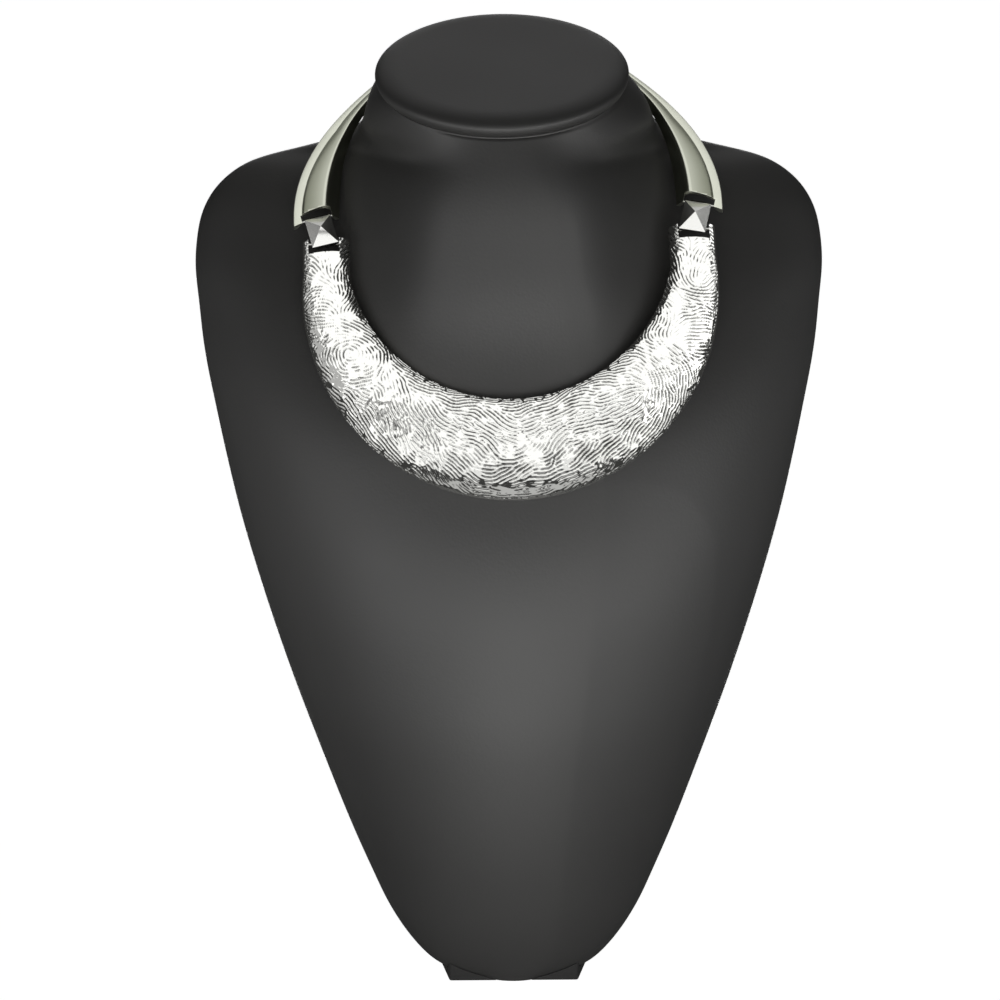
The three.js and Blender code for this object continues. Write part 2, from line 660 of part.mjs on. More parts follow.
const collar = new THREE.Group();
collar.add(bibPlate());
collar.add(pyramidLink('left_link', -1), pyramidLink('right_link', 1));
collar.add(...hingePins());
collar.add(sideBar('left_side_bar', -1), sideBar('right_side_bar', 1));
collar.add(...chain());
collar.rotation.order = 'YXZ';
collar.rotation.set(radians(COLLAR_LEAN), -radians(COLLAR_ROLL), 0);
collar.position.set(0, COLLAR_Y, COLLAR_Z);

const choker = new THREE.Group();
choker.add(meshOf('bust_body', bustGeometry(0, BUST_ROWS), leatherette));
choker.add(neckCap(), foot(), collar);

export default choker;
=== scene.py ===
"""A bib collar choker on a leatherette neck bust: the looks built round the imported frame.

Sizes are given in millimetres and turned to metres where a mesh is made; the camera and the
panels stand in metres. The front of the bust faces -Y. The collar is worked out in a frame of its
own, leaning back on the shoulders: its x runs across, its y up the slope and its z out of the
silver faces.
"""
import json
import math

import bmesh
import bpy
import numpy as np
from mathutils import Matrix, Vector

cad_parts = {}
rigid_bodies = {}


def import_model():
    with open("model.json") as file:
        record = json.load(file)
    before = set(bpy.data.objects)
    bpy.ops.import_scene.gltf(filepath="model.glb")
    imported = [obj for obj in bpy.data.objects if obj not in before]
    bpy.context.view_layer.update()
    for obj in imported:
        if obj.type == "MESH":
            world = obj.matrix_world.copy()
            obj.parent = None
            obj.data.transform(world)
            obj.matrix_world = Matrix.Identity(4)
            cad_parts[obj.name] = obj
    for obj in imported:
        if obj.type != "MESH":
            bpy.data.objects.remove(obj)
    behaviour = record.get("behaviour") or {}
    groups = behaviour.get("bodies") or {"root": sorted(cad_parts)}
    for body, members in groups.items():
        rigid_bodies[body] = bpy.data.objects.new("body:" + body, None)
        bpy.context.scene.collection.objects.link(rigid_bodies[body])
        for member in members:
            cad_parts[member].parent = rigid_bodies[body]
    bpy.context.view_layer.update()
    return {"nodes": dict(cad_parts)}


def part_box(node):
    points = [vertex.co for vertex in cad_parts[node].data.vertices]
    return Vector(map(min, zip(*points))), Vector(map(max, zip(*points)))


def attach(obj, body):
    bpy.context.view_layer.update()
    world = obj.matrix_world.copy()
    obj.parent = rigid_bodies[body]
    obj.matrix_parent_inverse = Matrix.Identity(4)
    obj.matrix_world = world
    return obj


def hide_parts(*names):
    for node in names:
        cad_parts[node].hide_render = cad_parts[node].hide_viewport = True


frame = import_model()

MM = 0.001

# ------------------------------------------------------------------------ the bust's sizes

BUST_SIDES = 160
BUST_RINGS = 220
BACK_POWER = 0.75
FLANK_EASE, FRONT_EASE = 3, 8  # how far bends are eased at the flanks and at the front
FRONT_START, FRONT_RAMP = 0.1875, 0.625  # where round a ring the front's easing comes in
# the neck's rolled top edge and the dark seam inside it: share of the ring, depth
NECK_EDGE = [(1, 0.6), (0.999, 0.35), (0.995, 0.12), (0.988, 0), (0.98, 0.05), (0.973, 0.3),
             (0.969, 0.8), (0.966, 3), (0.8, 3), (0.79, 0)]
BUST_COLUMNS = ("z", "half", "side", "chest", "neck", "reach", "back", "tilt")
BUST_ROWS = [
    (0, 10, -31, -36.2, 0, 44, -25, 0),
    (2.2, 19.5, -30.5, -37.6, 0, 44, -20.5, 0),
    (5.2, 27, -29.5, -39.5, 0, 44, -16.5, 0),
    (11.8, 34.5, -27.3, -43, 0, 44, -11, 0),
    (25, 44.2, -22, -49.5, 0, 44, -2, 0),
    (38.7, 50.7, -18.5, -55, 0, 44, 3.5, 0),
    (52.5, 56.8, -15, -60, 0, 44, 9, 0),
    (80.2, 67.8, -8, -67.5, 0, 44, 20, 0),
    (108.1, 78.2, -2, -72, 0, 44, 30, 0),
    (135.9, 87.5, 4, -73, 0, 44, 39, 0),
    (163.7, 95.7, 10, -69.5, 0, 44, 46, 0),
    (184, 100.5, 14, -63.3, 0, 44, 50.5, 0),
    (200, 103.8, 16.3, -56.5, 0.5, 44, 53, 0),
    (212, 106.2, 18, -48.5, 3, 44, 54.5, 0),
    (222, 107.8, 19.8, -40.3, 8, 43.5, 55.7, 0),
    (233.4, 109, 22.3, -30.2, 15, 43.5, 57, 0),
    (247.2, 110.3, 25.3, -16.8, 27.5, 44.5, 58, 0),
    (260.9, 108.9, 28.8, -1.8, 39.8, 45, 58, 0),
    (271, 104.4, 31.5, 6.8, 47, 45.6, 57, 0),
    (277.2, 98.2, 33, 14.5, 53.6, 46, 55.7, 0),
    (281.4, 91.1, 33.5, 20.6, 58.8, 46.5, 54.2, 0),
    (284.8, 78.3, 35.5, 30.5, 68, 48, 52, 0),
    (286.9, 66.8, 36.6, 26, 62.8, 48, 49.7, 1),
    (288.9, 56.5, 36.8, 10, 46, 48, 47.9, 2.5),
    (291.6, 51.9, 38.5, -5.5, 30.1, 48, 45.7, 5),
    (295, 50.32, 21, -14, 20.9, 48, 43.7, 8),
    (300, 48.6, 16, -20, 14, 48, 41.7, 12.5),
    (305.5, 45.95, 11, -25.5, 7.2, 48, 40.3, 17),
    (312, 41.2, 4.5, -31.6, 0, 48, 39.4, 21),
]
CAP_Y, CAP_Z, CAP_TILT = 4.7, 312.4, 21
NECK_LEAN, NECK_BASE = -1.9, 297
CAP_HALF_WIDTH, CAP_HALF_DEPTH, CAP_THICKNESS = 43, 41.5, 6.6
CAP_UNDER_ROLL, CAP_TOP_ROLL = 2.6, 8.5
CAP_SIDES, CAP_ROLL_STEPS = 160, 24
FOOT_FRONT_Y, FOOT_REAR_Y, FOOT_HEIGHT = -36, 70.8, 18
FOOT_FRONT_HALF, FOOT_REAR_HALF, FOOT_EDGE, SEAT_GAP = 22.8, 45, 0.8, 0.3

# ---------------------------------------------------------------------- the collar's sizes

COLLAR_LEAN, COLLAR_ROLL, COLLAR_Y, COLLAR_Z = 45, 1.9, -6, 261.8
SLOPE_STRETCH = 1.188
INNER_RIM, OUTER_RIM, OUTER_RIM_DROP = 55.8, 70.5, 17.8
BIB_HALF_TURN = 89.3
BIB_END_INNER, BIB_END_OUTER, BIB_STRAIGHT_FROM = 54.1, 70.2, 80.5
BIB_FLARE, BIB_TUCK = 14.2, 0.577
BIB_RISE_END, BIB_RISE_MIDDLE, PLATE_WALL = 4.2, 6.8, 1.2
DOME_POWER, DOME_FLATNESS = 2.4, 0.22
BIB_COLUMNS, BIB_ROWS, BIB_BACK_ROWS = 690, 130, 8

# The relief. Boldness says how much of a ridge's width its groove takes: it varies in patches,
# grows near the rims, and is greatest in a band of strokes low down, right of the middle.
RIDGE_PITCH, RIDGE_DEPTH, SKIN_ROLL = 1.22, 0.2, 0.035
RIDGE_WAYS, RIDGE_ROUNDS, RIDGE_GAIN = 18, 5, 1.6
PITCH_SPREAD, WAY_SPREAD = 0.3, 0.42
RELIEF_STEP, RELIEF_MARGIN = 0.28, 4
RIDGE_SEED, PATCH_SEED, SKIN_SEED = 11, 18, 9
PATCH_SIZE, SKIN_SIZE, SKIN_RIDGE = 5, 1.5, 0.6
WAVERS = ((0.24, 8, 5), (0.17, 2.6, 6))  # how ridges stray: radians, size and seed
FEATHER_ANGLE, FEATHER_MIDDLE, FEATHER_REACH = 0.95, 7, 4
SLANT_ANGLE, SLANT_WAVES, EYE_PULL = 0.5, 3.2, 5
BOLD_PATCH, BOLD_RIM, BOLD_STROKE, STROKE_PATCH = 0.14, 0.3, 0.75, 0.6
STROKE_TURN, STROKE_SHARE = (0.3, 0.45, 4), (0.72, 0.1, 2)  # the middle, reach and power of bells
LOW_MIDDLE_TURN, LOW_MIDDLE_LOSS, RIM_GAIN = (0, 0.42, 4), 0.45, 0.5
# ramps: where each starts, and over what length it climbs
GROOVE_RAMP, ARMS_RAMP, SLANT_RAMP = (0.72, 0.75), (0.6, 0.5), (4, 10)
END_FADE, INNER_FADE, OUTER_FADE = (1, 0.8), (0.2, 0.5), 0.6
LOW_SHARE_RAMP, NEAR_RIM_RAMP = (0.6, 0.15), (0.22, 0.2)
OUTER_MARGIN, ARMS_MARGIN, ARMS_MARGIN_RAMP = 0.3, 2.2, (0.8, 0.3)

LINK_X, LINK_SLOPE_Y, LINK_TURN, LINK_HALF_LENGTH = 63.5, 2.1, 13.5, 5.9
NOTCH_HALF, BIB_NOTCH_X, BIB_NOTCH_FLOOR, BIB_NOTCH_LOW, BIB_NOTCH_TOP = 5.3, 62.7, -6.8, -3, 12
CUT_BELOW, CUT_ABOVE, CUT_REACH = -5, 20, 30  # how far a bar's cutters go past it

BAR_X, BAR_SLOPE, BAR_CENTRE, BAR_START, BAR_END = 65.5, 72.5, 10, -8, 64
BAR_WIDTH_FRONT, BAR_WIDTH_BACK, BAR_TAPER_END = 15.6, 4.8, 48
BAR_RISE, BAR_RISE_SHARE, BAR_STEPS = 1.6, 0.225, 120
BAR_LIP, BAR_LIP_SHARE, BAR_WALL_SHARE = 3.1, 0.35, 0.24
BAR_CUT, BAR_NOTCH_FLOOR, BAR_NOTCH_SHIFT = 5.3, 8.5, 0.2
TAB_RADIUS, TAB_HOLE, TAB_THICKNESS, TAB_OVERLAP, TAB_CUT = 2.8, 1.65, 0.9, 0.3, (-3, 5)
DISC_SIDES, DISC_EDGE = 48, 0.12
# how bright a bar's colour is painted as highlights and shade, from 0 to 1, and which stretch of
# the crown's width is its crest
LIP_SHINE, GROOVE_SHINE, CROWN_SHINE, CREST_SHINE, WALL_SHINE = 0.9, 0.12, 0.57, 0.8, 0.2
CREST_START, CREST_END, CROWN_POWER, LIP_GIVE = 0.6, 0.66, 1.5, 0.05

CHAIN_LINKS, LINK_LENGTH, LINK_WIDTH, LINK_WIRE = 10, 6.3, 4, 0.9  # the chain's wire links
LINK_EDGE, CLASP_EDGE = 0.12, 0.18
FLAT_WITHIN, CORNER_FROM = 2, 35  # degrees that one flat face may bend, and a corner must
TOUCH = 0.02  # how near to a plane a point counts as on it

# ---------------------------------------------------------------------- the studio's sizes

FLOOR_HALF = 4000
ROOM_GLOW, ROOM_SHADE = 0.06, 0.01
CAMERA_LENS, CAMERA_SHIFT, CAMERA_AIM = 102.56, (-0.0105, 0.004), (0, 0, 0.165)
CAMERA_RISE, CAMERA_ROLL = 15, -0.4


# --------------------------------------------------------------------------------- helpers

def linear(code):
    """An sRGB hex colour as the linear colour that a shader takes."""
    parts = [int(code[i:i + 2], 16) / 255 for i in (1, 3, 5)]
    bent = [p / 12.92 if p <= 0.04045 else ((p + 0.055) / 1.055) ** 2.4 for p in parts]
    return (*bent, 1)


def add(tree, kind, inputs=None, **settings):
    """Adds a node with its settings; an input is a value or the socket that feeds it."""
    made = tree.nodes.new(kind)
    for name, value in settings.items():
        setattr(made, name, value)
    for name, value in (inputs or {}).items():
        if isinstance(value, bpy.types.NodeSocket):
            tree.links.new(value, made.inputs[name])
        else:
            made.inputs[name].default_value = value
    return made


def blank_material(name):
    material = bpy.data.materials.new(name)
    material.use_nodes = True
    material.node_tree.nodes.clear()
    return material, material.node_tree


def finish_material(tree, looks):
    """Ends a material in a principled shader that takes the given inputs."""
    shader = add(tree, "ShaderNodeBsdfPrincipled", looks)
    add(tree, "ShaderNodeOutputMaterial", {"Surface": shader.outputs[0]})


def object_space(tree):
    return add(tree, "ShaderNodeTexCoord").outputs["Object"]


def grain(tree, scale, detail, place_of=None):
    """Noise that runs through a piece, with about this many lumps to the metre."""
    inputs = {"Vector": place_of or object_space(tree), "Scale": scale, "Detail": detail}
    return add(tree, "ShaderNodeTexNoise", inputs).outputs["Fac"]


def spread(tree, share, low, high):
    """A value that goes from low to high with a share of 0 to 1."""
    inputs = {"Value": share, "To Min": low, "To Max": high}
    return add(tree, "ShaderNodeMapRange", inputs).outputs["Result"]


def blend(tree, share, first, second):
    """A colour that goes from the first to the second with a share of 0 to 1."""
    inputs = {"Factor": share, "A": linear(first), "B": linear(second)}
    return add(tree, "ShaderNodeMix", inputs, data_type="RGBA").outputs["Result"]


def bump(tree, height, strength, distance):
    inputs = {"Strength": strength, "Distance": distance, "Height": height}
    return add(tree, "ShaderNodeBump", inputs).outputs["Normal"]


def new_object(name, data):
    """An object in the scene that holds a mesh, a light or a camera."""
    made = bpy.data.objects.new(name, data)
    bpy.context.scene.collection.objects.link(made)
    return made


def piece(name, points, faces, material):
    """An object whose mesh is made from points in millimetres."""
    mesh = bpy.data.meshes.new(name)
    mesh.from_pydata((np.asarray(points) * MM).tolist(), [], faces)
    mesh.validate()
    mesh.materials.append(material)
    return new_object(name, mesh)


def vectors(items, field):
    """The vectors that a mesh's items hold in a field, one row each."""
    rows = np.empty((len(items), 3), np.float32)
    items.foreach_get(field, rows.reshape(-1))
    return rows


def mark(mesh, name, values):
    """Gives a mesh a value for each of its points, which a material can read."""
    made = mesh.attributes.new(name, "FLOAT", "POINT")
    made.data.foreach_set("value", values.reshape(-1).astype(np.float32))


def outward(made):
    """Turns a closed mesh's faces so that they all point outwards."""
    shape = bmesh.new()
    shape.from_mesh(made.data)
    bmesh.ops.remove_doubles(shape, verts=shape.verts, dist=1e-7)
    bmesh.ops.recalc_face_normals(shape, faces=shape.faces)
    if shape.calc_volume(signed=True) < 0:
        bmesh.ops.reverse_faces(shape, faces=shape.faces)
    shape.to_mesh(made.data)
    shape.free()


def settle(made):
    """Makes the result of a piece's modifiers its own mesh."""
    graph = bpy.context.evaluated_depsgraph_get()
    result = bpy.data.meshes.new_from_object(made.evaluated_get(graph))
    made.modifiers.clear()
    old = made.data
    made.data = result
    result.name = made.name
    bpy.data.meshes.remove(old)


def smooth(made, degrees):
    made.data.shade_smooth()
    made.data.set_sharp_from_angle(angle=math.radians(degrees))


def place(made, slot, *nodes):
    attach(made, "root")
    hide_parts(*nodes)


def ramp(values, start, length):
    """Shares that climb from 0 to 1 over a length from the start."""
    return np.clip((values - start) / length, 0, 1)


def smooth_step(share):
    """Eases a share of 0 to 1 in and out."""
    return share * share * (3 - 2 * share)


def bell(values, middle, reach, power):
    """Shares of 1 at the middle that fall away over a reach to either side."""
    return np.exp(-(((values - middle) / reach) ** power))


def full_turn(steps):
    """Angles evenly round a circle."""
    return np.arange(steps) * 2 * math.pi / steps


def unit(rows):
    return rows / np.linalg.norm(rows, axis=-1, keepdims=True)


def even_curve(knots, values, at):
    """A smooth curve through the values that never swings past them."""
    knots, values = np.asarray(knots, float), np.asarray(values, float)
    step = np.diff(knots)
    rise = np.diff(values) / step
    slope = np.zeros_like(values)
    same = rise[:-1] * rise[1:] > 0
    w1, w2 = 2 * step[1:] + step[:-1], step[1:] + 2 * step[:-1]
    with np.errstate(divide="ignore", invalid="ignore"):
        mean = (w1 + w2) / (w1 / rise[:-1] + w2 / rise[1:])
    slope[1:-1] = np.where(same, mean, 0)
    slope[0], slope[-1] = rise[0], rise[-1]
    i = np.clip(np.searchsorted(knots, at) - 1, 0, len(step) - 1)
    t = (at - knots[i]) / step[i]
    return (
        values[i] * (1 + 2 * t) * (1 - t) ** 2
        + slope[i] * step[i] * t * (1 - t) ** 2
        + values[i + 1] * t * t * (3 - 2 * t)
        + slope[i + 1] * step[i] * t * t * (t - 1)
    )


def grid_faces(rings, around):
    """Quads between closed rings of points."""
    faces = []
    for start in range(0, (rings - 1) * around, around):
        for i in range(around):
            a, b = start + i, start + (i + 1) % around
            faces.append((a, b, b + around, a + around))
    return faces


def tube_faces(rings, around):
    """Quads between closed rings of points, and a face over each end."""
    ends = [tuple(range(start, start + around)) for start in (0, (rings - 1) * around)]
    return grid_faces(rings, around) + ends


def collar_matrix():
    """The turn and the origin of the collar's frame."""
    turn = Matrix.Rotation(-math.radians(COLLAR_ROLL), 3, "Y")
    turn = turn @ Matrix.Rotation(math.radians(COLLAR_LEAN), 3, "X")
    return np.array(turn), np.array([0, COLLAR_Y, COLLAR_Z], float)


def on_collar(points):
    turn, origin = collar_matrix()
    return np.asarray(points) @ turn.T + origin


def from_collar(points):
    """Places in the collar's frame of points that are given in metres."""
    turn, origin = collar_matrix()
    return (np.asarray(points) / MM - origin) @ turn


def block(name, low, high, turned=None):
    """A closed box between two corners of the collar's frame, or of another that is turned."""
    corners = np.array([[(low, high)[(n >> k) & 1][k] for k in range(3)] for n in range(8)], float)
    if turned is not None:
        corners = turned(corners)
    faces = [(0, 1, 3, 2), (4, 6, 7, 5), (0, 4, 5, 1), (2, 3, 7, 6), (0, 2, 6, 4), (1, 5, 7, 3)]
    made = piece(name, on_collar(corners), faces, bpy.data.materials["plated_steel"])
    outward(made)
    return made


def disc(name, middle, radius, low, high):
    """A flat disc lying on the collar's slope, its edges eased."""
    turn = full_turn(DISC_SIDES)
    rings = []
    for reach, height in ((radius - DISC_EDGE, low), (radius, low + DISC_EDGE),
                          (radius, high - DISC_EDGE), (radius - DISC_EDGE, high)):
        rings.append(np.stack([middle[0] + reach * np.cos(turn), middle[1] + reach * np.sin(turn),
                               np.full(DISC_SIDES, height)], 1))
    made = piece(name, on_collar(np.concatenate(rings)), tube_faces(len(rings), DISC_SIDES),
                 bpy.data.materials["plated_steel"])
    outward(made)
    return made


def cut(made, cutters, joined=()):
    """Joins pieces to a made one, cuts others out of it, and takes those pieces away."""
    for operation, tools in (("UNION", joined), ("DIFFERENCE", cutters)):
        for tool in tools:
            change = made.modifiers.new("cut", "BOOLEAN")
            change.operation = operation
            change.solver = "EXACT"
            change.object = tool
    settle(made)
    for tool in (*joined, *cutters):
        bpy.data.objects.remove(tool)


# ------------------------------------------------------------------------------- materials

def leatherette_material():
    """Black PU leatherette over padding: a soft sheen, a pebbled grain and a faint bloom."""
    material, tree = blank_material("black_leatherette")
    place_of = object_space(tree)
    # pebbles of about 0.9 mm, a little coarser than life so that they show
    pebbles = add(tree, "ShaderNodeTexVoronoi", {"Vector": place_of, "Scale": 1100},
                  feature="SMOOTH_F1").outputs["Distance"]
    creases = grain(tree, 420, 5, place_of)
    bloom = grain(tree, 24, 3, place_of)
    height = add(tree, "ShaderNodeMix", {"Factor": 0.35, "A": pebbles, "B": creases})
    finish_material(tree, {"Base Color": blend(tree, bloom, "#565553", "#5e5d5a"),
                           "Roughness": spread(tree, bloom, 0.57, 0.65), "IOR": 1.5,
                           "Normal": bump(tree, height.outputs["Result"], 0.22, 0.0002)})
    return material


def board_material():
    """Black paper over the foot's board: flat and barely glossy, with a faint fibre."""
    material, tree = blank_material("matt_black_board")
    fibre = grain(tree, 700, 5)
    finish_material(tree, {"Base Color": blend(tree, fibre, "#2b2a29", "#393836"),
                           "Roughness": 0.8, "IOR": 1.36,
                           "Normal": bump(tree, fibre, 0.15, 0.0001)})
    return material


def relief_silver_material():
    """Polished silver plate over a cast relief: mirror bright, with the grooves rougher and painted
    dark as painted shade.
    """
    material, tree = blank_material("polished_silver_relief")
    groove = add(tree, "ShaderNodeAttribute", attribute_name="groove").outputs["Fac"]
    dull = spread(tree, groove, 0.1, 0.42)
    worn = spread(tree, grain(tree, 900, 3), -0.03, 0.05)
    rough = add(tree, "ShaderNodeMath", {0: dull, 1: worn}, operation="ADD").outputs["Value"]
    # painted shade: the colour goes from bright silver to near black in the grooves
    finish_material(tree, {"Base Color": blend(tree, groove, "#f4f4f0", "#2c2c28"),
                           "Roughness": rough, "Metallic": 1})
    return material


def bright_silver_material():
    """Flat polished silver: crisp mirror facets with faint buffing marks."""
    material, tree = blank_material("polished_silver")
    stretch = add(tree, "ShaderNodeMapping", {"Vector": object_space(tree), "Scale": (1, 1, 6)})
    buffing = grain(tree, 1500, 2, stretch.outputs["Vector"])
    finish_material(tree, {"Base Color": linear("#eeeeea"),
                           "Roughness": spread(tree, buffing, 0.1, 0.2), "Metallic": 1})
    return material


def satin_silver_material():
    """Satin silver plate: a soft, slightly warm and greenish shine with a fine brushed haze, and
    painted highlights and shade in its colour.
    """
    material, tree = blank_material("satin_silver")
    place_of = object_space(tree)
    brushing = grain(tree, 1300, 4, place_of)
    uneven = spread(tree, grain(tree, 60, 2, place_of), -0.08, 0.08)
    # painted highlights and shade marked on each bar, with a random unevenness of tone added
    polish = add(tree, "ShaderNodeAttribute", attribute_name="polish").outputs["Fac"]
    painted_shine = add(tree, "ShaderNodeMath", {0: polish, 1: uneven}, operation="ADD").outputs["Value"]
    finish_material(tree, {"Base Color": blend(tree, painted_shine, "#6a6d5c", "#d6d8ca"),
                           "Roughness": spread(tree, brushing, 0.26, 0.36), "Metallic": 1,
                           "Normal": bump(tree, brushing, 0.08, 0.00005)})
    return material


def steel_material():
    """Plated steel wire for the chain, clasp and pins: bright, with a soft drawn finish."""
    material, tree = blank_material("plated_steel")
    drawn = grain(tree, 2200, 2)
    finish_material(tree, {"Base Color": linear("#d8d8d2"),
                           "Roughness": spread(tree, drawn, 0.18, 0.3), "Metallic": 1})
    return material


def recess_material():
    """Plate painted dark in the slots as painted shade, with a mottled tone."""
    material, tree = blank_material("painted_shade_recess")
    shade_mottle = grain(tree, 1200, 3)
    finish_material(tree, {"Base Color": blend(tree, shade_mottle, "#1e1e1b", "#34342f"),
                           "Roughness": 0.55, "Metallic": 1})
    return material


def floor_material():
    """White studio paper, lit from inside like a light table: matt and even."""
    material, tree = blank_material("studio_paper")
    finish_material(tree, {"Base Color": linear("#e8e8e6"), "Roughness": 0.9,
                           "Emission Color": (1, 1, 1, 1), "Emission Strength": 1})
    return material


# ------------------------------------------------------------------------------------ bust

def eased(rings, reach):
    """Rings of points whose bends, followed from the first ring to the last, are eased over a
    reach in mm that each column of points has for itself."""
    spare = 60  # rings, mirrored past each end so that the ends stay where they are
    longer = np.pad(rings, ((spare, spare), (0, 0), (0, 0)), mode="reflect", reflect_type="odd")
    way = np.cumsum(np.linalg.norm(np.diff(longer, axis=0, prepend=longer[:1]), axis=-1), 0)
    apart = (way[spare:-spare, None] - way[None]) / reach
    weights = np.exp(-0.5 * apart ** 2) * np.gradient(way, axis=0)
    return np.einsum("ijk,jkd->ikd", weights, longer) / weights.sum(1)[..., None]


def bust_rings(curves, turn):
    """Points of all the torso's rings, given each column of BUST_ROWS as a curve."""
    row = {name: curve[:, None] for name, curve in curves.items()}
    depth = np.abs(np.sin(turn))
    x = row["half"] * np.cos(turn)
    swell = row["neck"] * bell(x, 0, row["reach"], 4)
    forward = row["side"] - row["chest"] + swell
    behind = row["back"] - row["side"]
    y = np.where(np.sin(turn) < 0, row["side"] - forward * depth,
                 row["side"] + behind * depth ** BACK_POWER)
    height = row["z"] + (y - CAP_Y) * np.tan(np.radians(row["tilt"]))
    lean = NECK_LEAN * smooth_step(ramp(row["z"], NECK_BASE, CAP_Z - NECK_BASE))
    return np.stack([x + lean, y, height], -1)


def bust_body(material):
    """The padded torso: rings through the rows, drawn smooth from foot to neck and smoothest
    at the front, where the padding is thick."""
    rows = np.array(BUST_ROWS, float)
    steps = np.hypot(np.diff(rows[:, 0]), np.diff(rows[:, 1]))
    way = np.concatenate([[0], np.cumsum(steps)])
    at = np.linspace(0, way[-1], BUST_RINGS)
    curves = {name: even_curve(way, rows[:, k], at) for k, name in enumerate(BUST_COLUMNS)}
    turn = full_turn(BUST_SIDES)
    front = ramp(-np.sin(turn), FRONT_START, FRONT_RAMP)
    rings = eased(bust_rings(curves, turn), FLANK_EASE * (1 - front) + FRONT_EASE * front)
    top, middle = rings[-1], rings[-1].mean(0)
    slope = math.radians(CAP_TILT)
    down = np.array([0, math.sin(slope), -math.cos(slope)])
    edge = [middle + (top - middle) * share + down * depth for share, depth in NECK_EDGE]
    rings = np.concatenate([rings[:-1], edge])
    torso = piece("torso_cover", rings.reshape(-1, 3), tube_faces(len(rings), BUST_SIDES), material)
    outward(torso)
    smooth(torso, 50)
    place(torso, "leatherette", "bust_body")
    return torso


def neck_cap(material):
    """The padded lid: a flat top that rolls softly over to a tighter lower edge."""
    half = CAP_THICKNESS / 2
    profile = [(0.5, 0), (0.9, 0)]
    for i in range(CAP_ROLL_STEPS + 1):
        turn = math.pi * i / CAP_ROLL_STEPS
        roll = CAP_UNDER_ROLL if i < CAP_ROLL_STEPS / 2 else CAP_TOP_ROLL
        share = 1 - roll / CAP_HALF_WIDTH * (1 - math.sin(turn))
        profile.append((share, half - half * math.cos(turn)))
    profile += [(0.7, CAP_THICKNESS), (0.4, CAP_THICKNESS)]
    turn = full_turn(CAP_SIDES)
    rings = [np.stack([CAP_HALF_WIDTH * share * np.cos(turn), CAP_HALF_DEPTH * share * np.sin(turn),
                       np.full(CAP_SIDES, height)], 1) for share, height in profile]
    points = np.concatenate([[(0, 0, 0)], *rings, [(0, 0, CAP_THICKNESS)]])
    top = len(points) - 1
    last = top - CAP_SIDES
    faces = [(0, 1 + i, 1 + (i + 1) % CAP_SIDES) for i in range(CAP_SIDES)]
    faces += [tuple(1 + k for k in face) for face in grid_faces(len(rings), CAP_SIDES)]
    faces += [(last + i, last + (i + 1) % CAP_SIDES, top) for i in range(CAP_SIDES)]
    tilt = np.array(Matrix.Rotation(math.radians(CAP_TILT), 3, "X"))
    cap = piece("padded_lid", points @ tilt.T + [NECK_LEAN, CAP_Y, CAP_Z], faces, material)
    outward(cap)
    smooth(cap, 60)
    place(cap, "leatherette", "neck_cap")


def foot_board(torso, material):
    """The board under the bust, which tapers to the front, with the torso's seat cut out."""
    plan = [(-FOOT_FRONT_HALF, FOOT_FRONT_Y), (FOOT_FRONT_HALF, FOOT_FRONT_Y),
            (FOOT_REAR_HALF, FOOT_REAR_Y), (-FOOT_REAR_HALF, FOOT_REAR_Y)]
    points = [(x, y, z) for z in (0, FOOT_HEIGHT) for x, y in plan]
    walls = [(i, (i + 1) % 4, (i + 1) % 4 + 4, i + 4) for i in range(4)]
    foot = piece("foot_board", points, [(3, 2, 1, 0), (4, 5, 6, 7)] + walls, material)
    rounded = foot.modifiers.new("edges", "BEVEL")
    rounded.width = FOOT_EDGE * MM
    rounded.segments = 3
    settle(foot)
    seat = new_object("seat", torso.data.copy())
    swollen = vectors(seat.data.vertices, "co")
    swollen += vectors(seat.data.vertex_normals, "vector") * SEAT_GAP * MM
    seat.data.vertices.foreach_set("co", swollen.reshape(-1))
    cut(foot, [seat])
    smooth(foot, 30)
    place(foot, "leatherette", "bust_foot")


# ------------------------------------------------------------------------------- bib plate

def rim_point(turn, radius, fall):
    along = -SLOPE_STRETCH * radius * np.cos(turn) + BIB_TUCK * fall
    return np.stack([radius * np.sin(turn), along, -fall], -1)


def inner_rim(turn):
    straight = BIB_END_INNER / np.maximum(np.abs(np.sin(turn)), 1e-6)
    return rim_point(turn, np.minimum(INNER_RIM, straight), 0 * turn)


def outer_rim(turn):
    across = OUTER_RIM_DROP * np.sin(turn)
    straight = BIB_END_OUTER / np.maximum(np.abs(np.sin(turn)), 1e-6)
    radius = OUTER_RIM_DROP * np.cos(turn) + np.sqrt(OUTER_RIM ** 2 - across ** 2)
    ends = np.abs(turn) > math.radians(BIB_STRAIGHT_FROM)
    radius = np.where(ends, np.maximum(radius, straight), radius)
    return rim_point(turn, radius, BIB_FLARE * np.maximum(0, np.cos(turn)))


def bib_frame(turn):
    """At each turn: a point of the inner rim, the ways across the plate and out of it, and the
    plate's width."""
    inner, outer = inner_rim(turn), outer_rim(turn)
    step = 0.01
    along = inner_rim(turn + step) + outer_rim(turn + step)
    along = along - inner_rim(turn - step) - outer_rim(turn - step)
    across = outer - inner
    width = np.linalg.norm(across, axis=-1)
    across = across / width[:, None]
    up = unit(np.cross(across, along))
    up[up[:, 2] < 0] *= -1
    return inner, across, up, width


def dome(share):
    """The plate's height over its width, as a share of its rise."""
    return np.sqrt(np.maximum(0, 1 - np.abs(2 * share - 1) ** DOME_POWER))


def even_shares(count):
    """Shares of the plate's width that are evenly spaced along its domed section."""
    fine = (1 - np.cos(np.linspace(0, math.pi, 4001))) / 2
    steps = np.hypot(np.diff(fine), DOME_FLATNESS * np.diff(dome(fine)))
    way = np.concatenate([[0], np.cumsum(steps)])
    return np.interp(np.linspace(0, way[-1], count), way, fine)


def waves(shape):
    """How many waves to the millimetre each cell of a grid's spectrum stands for."""
    return (np.fft.fftfreq(shape[0], RELIEF_STEP)[:, None],
            np.fft.rfftfreq(shape[1], RELIEF_STEP)[None, :])


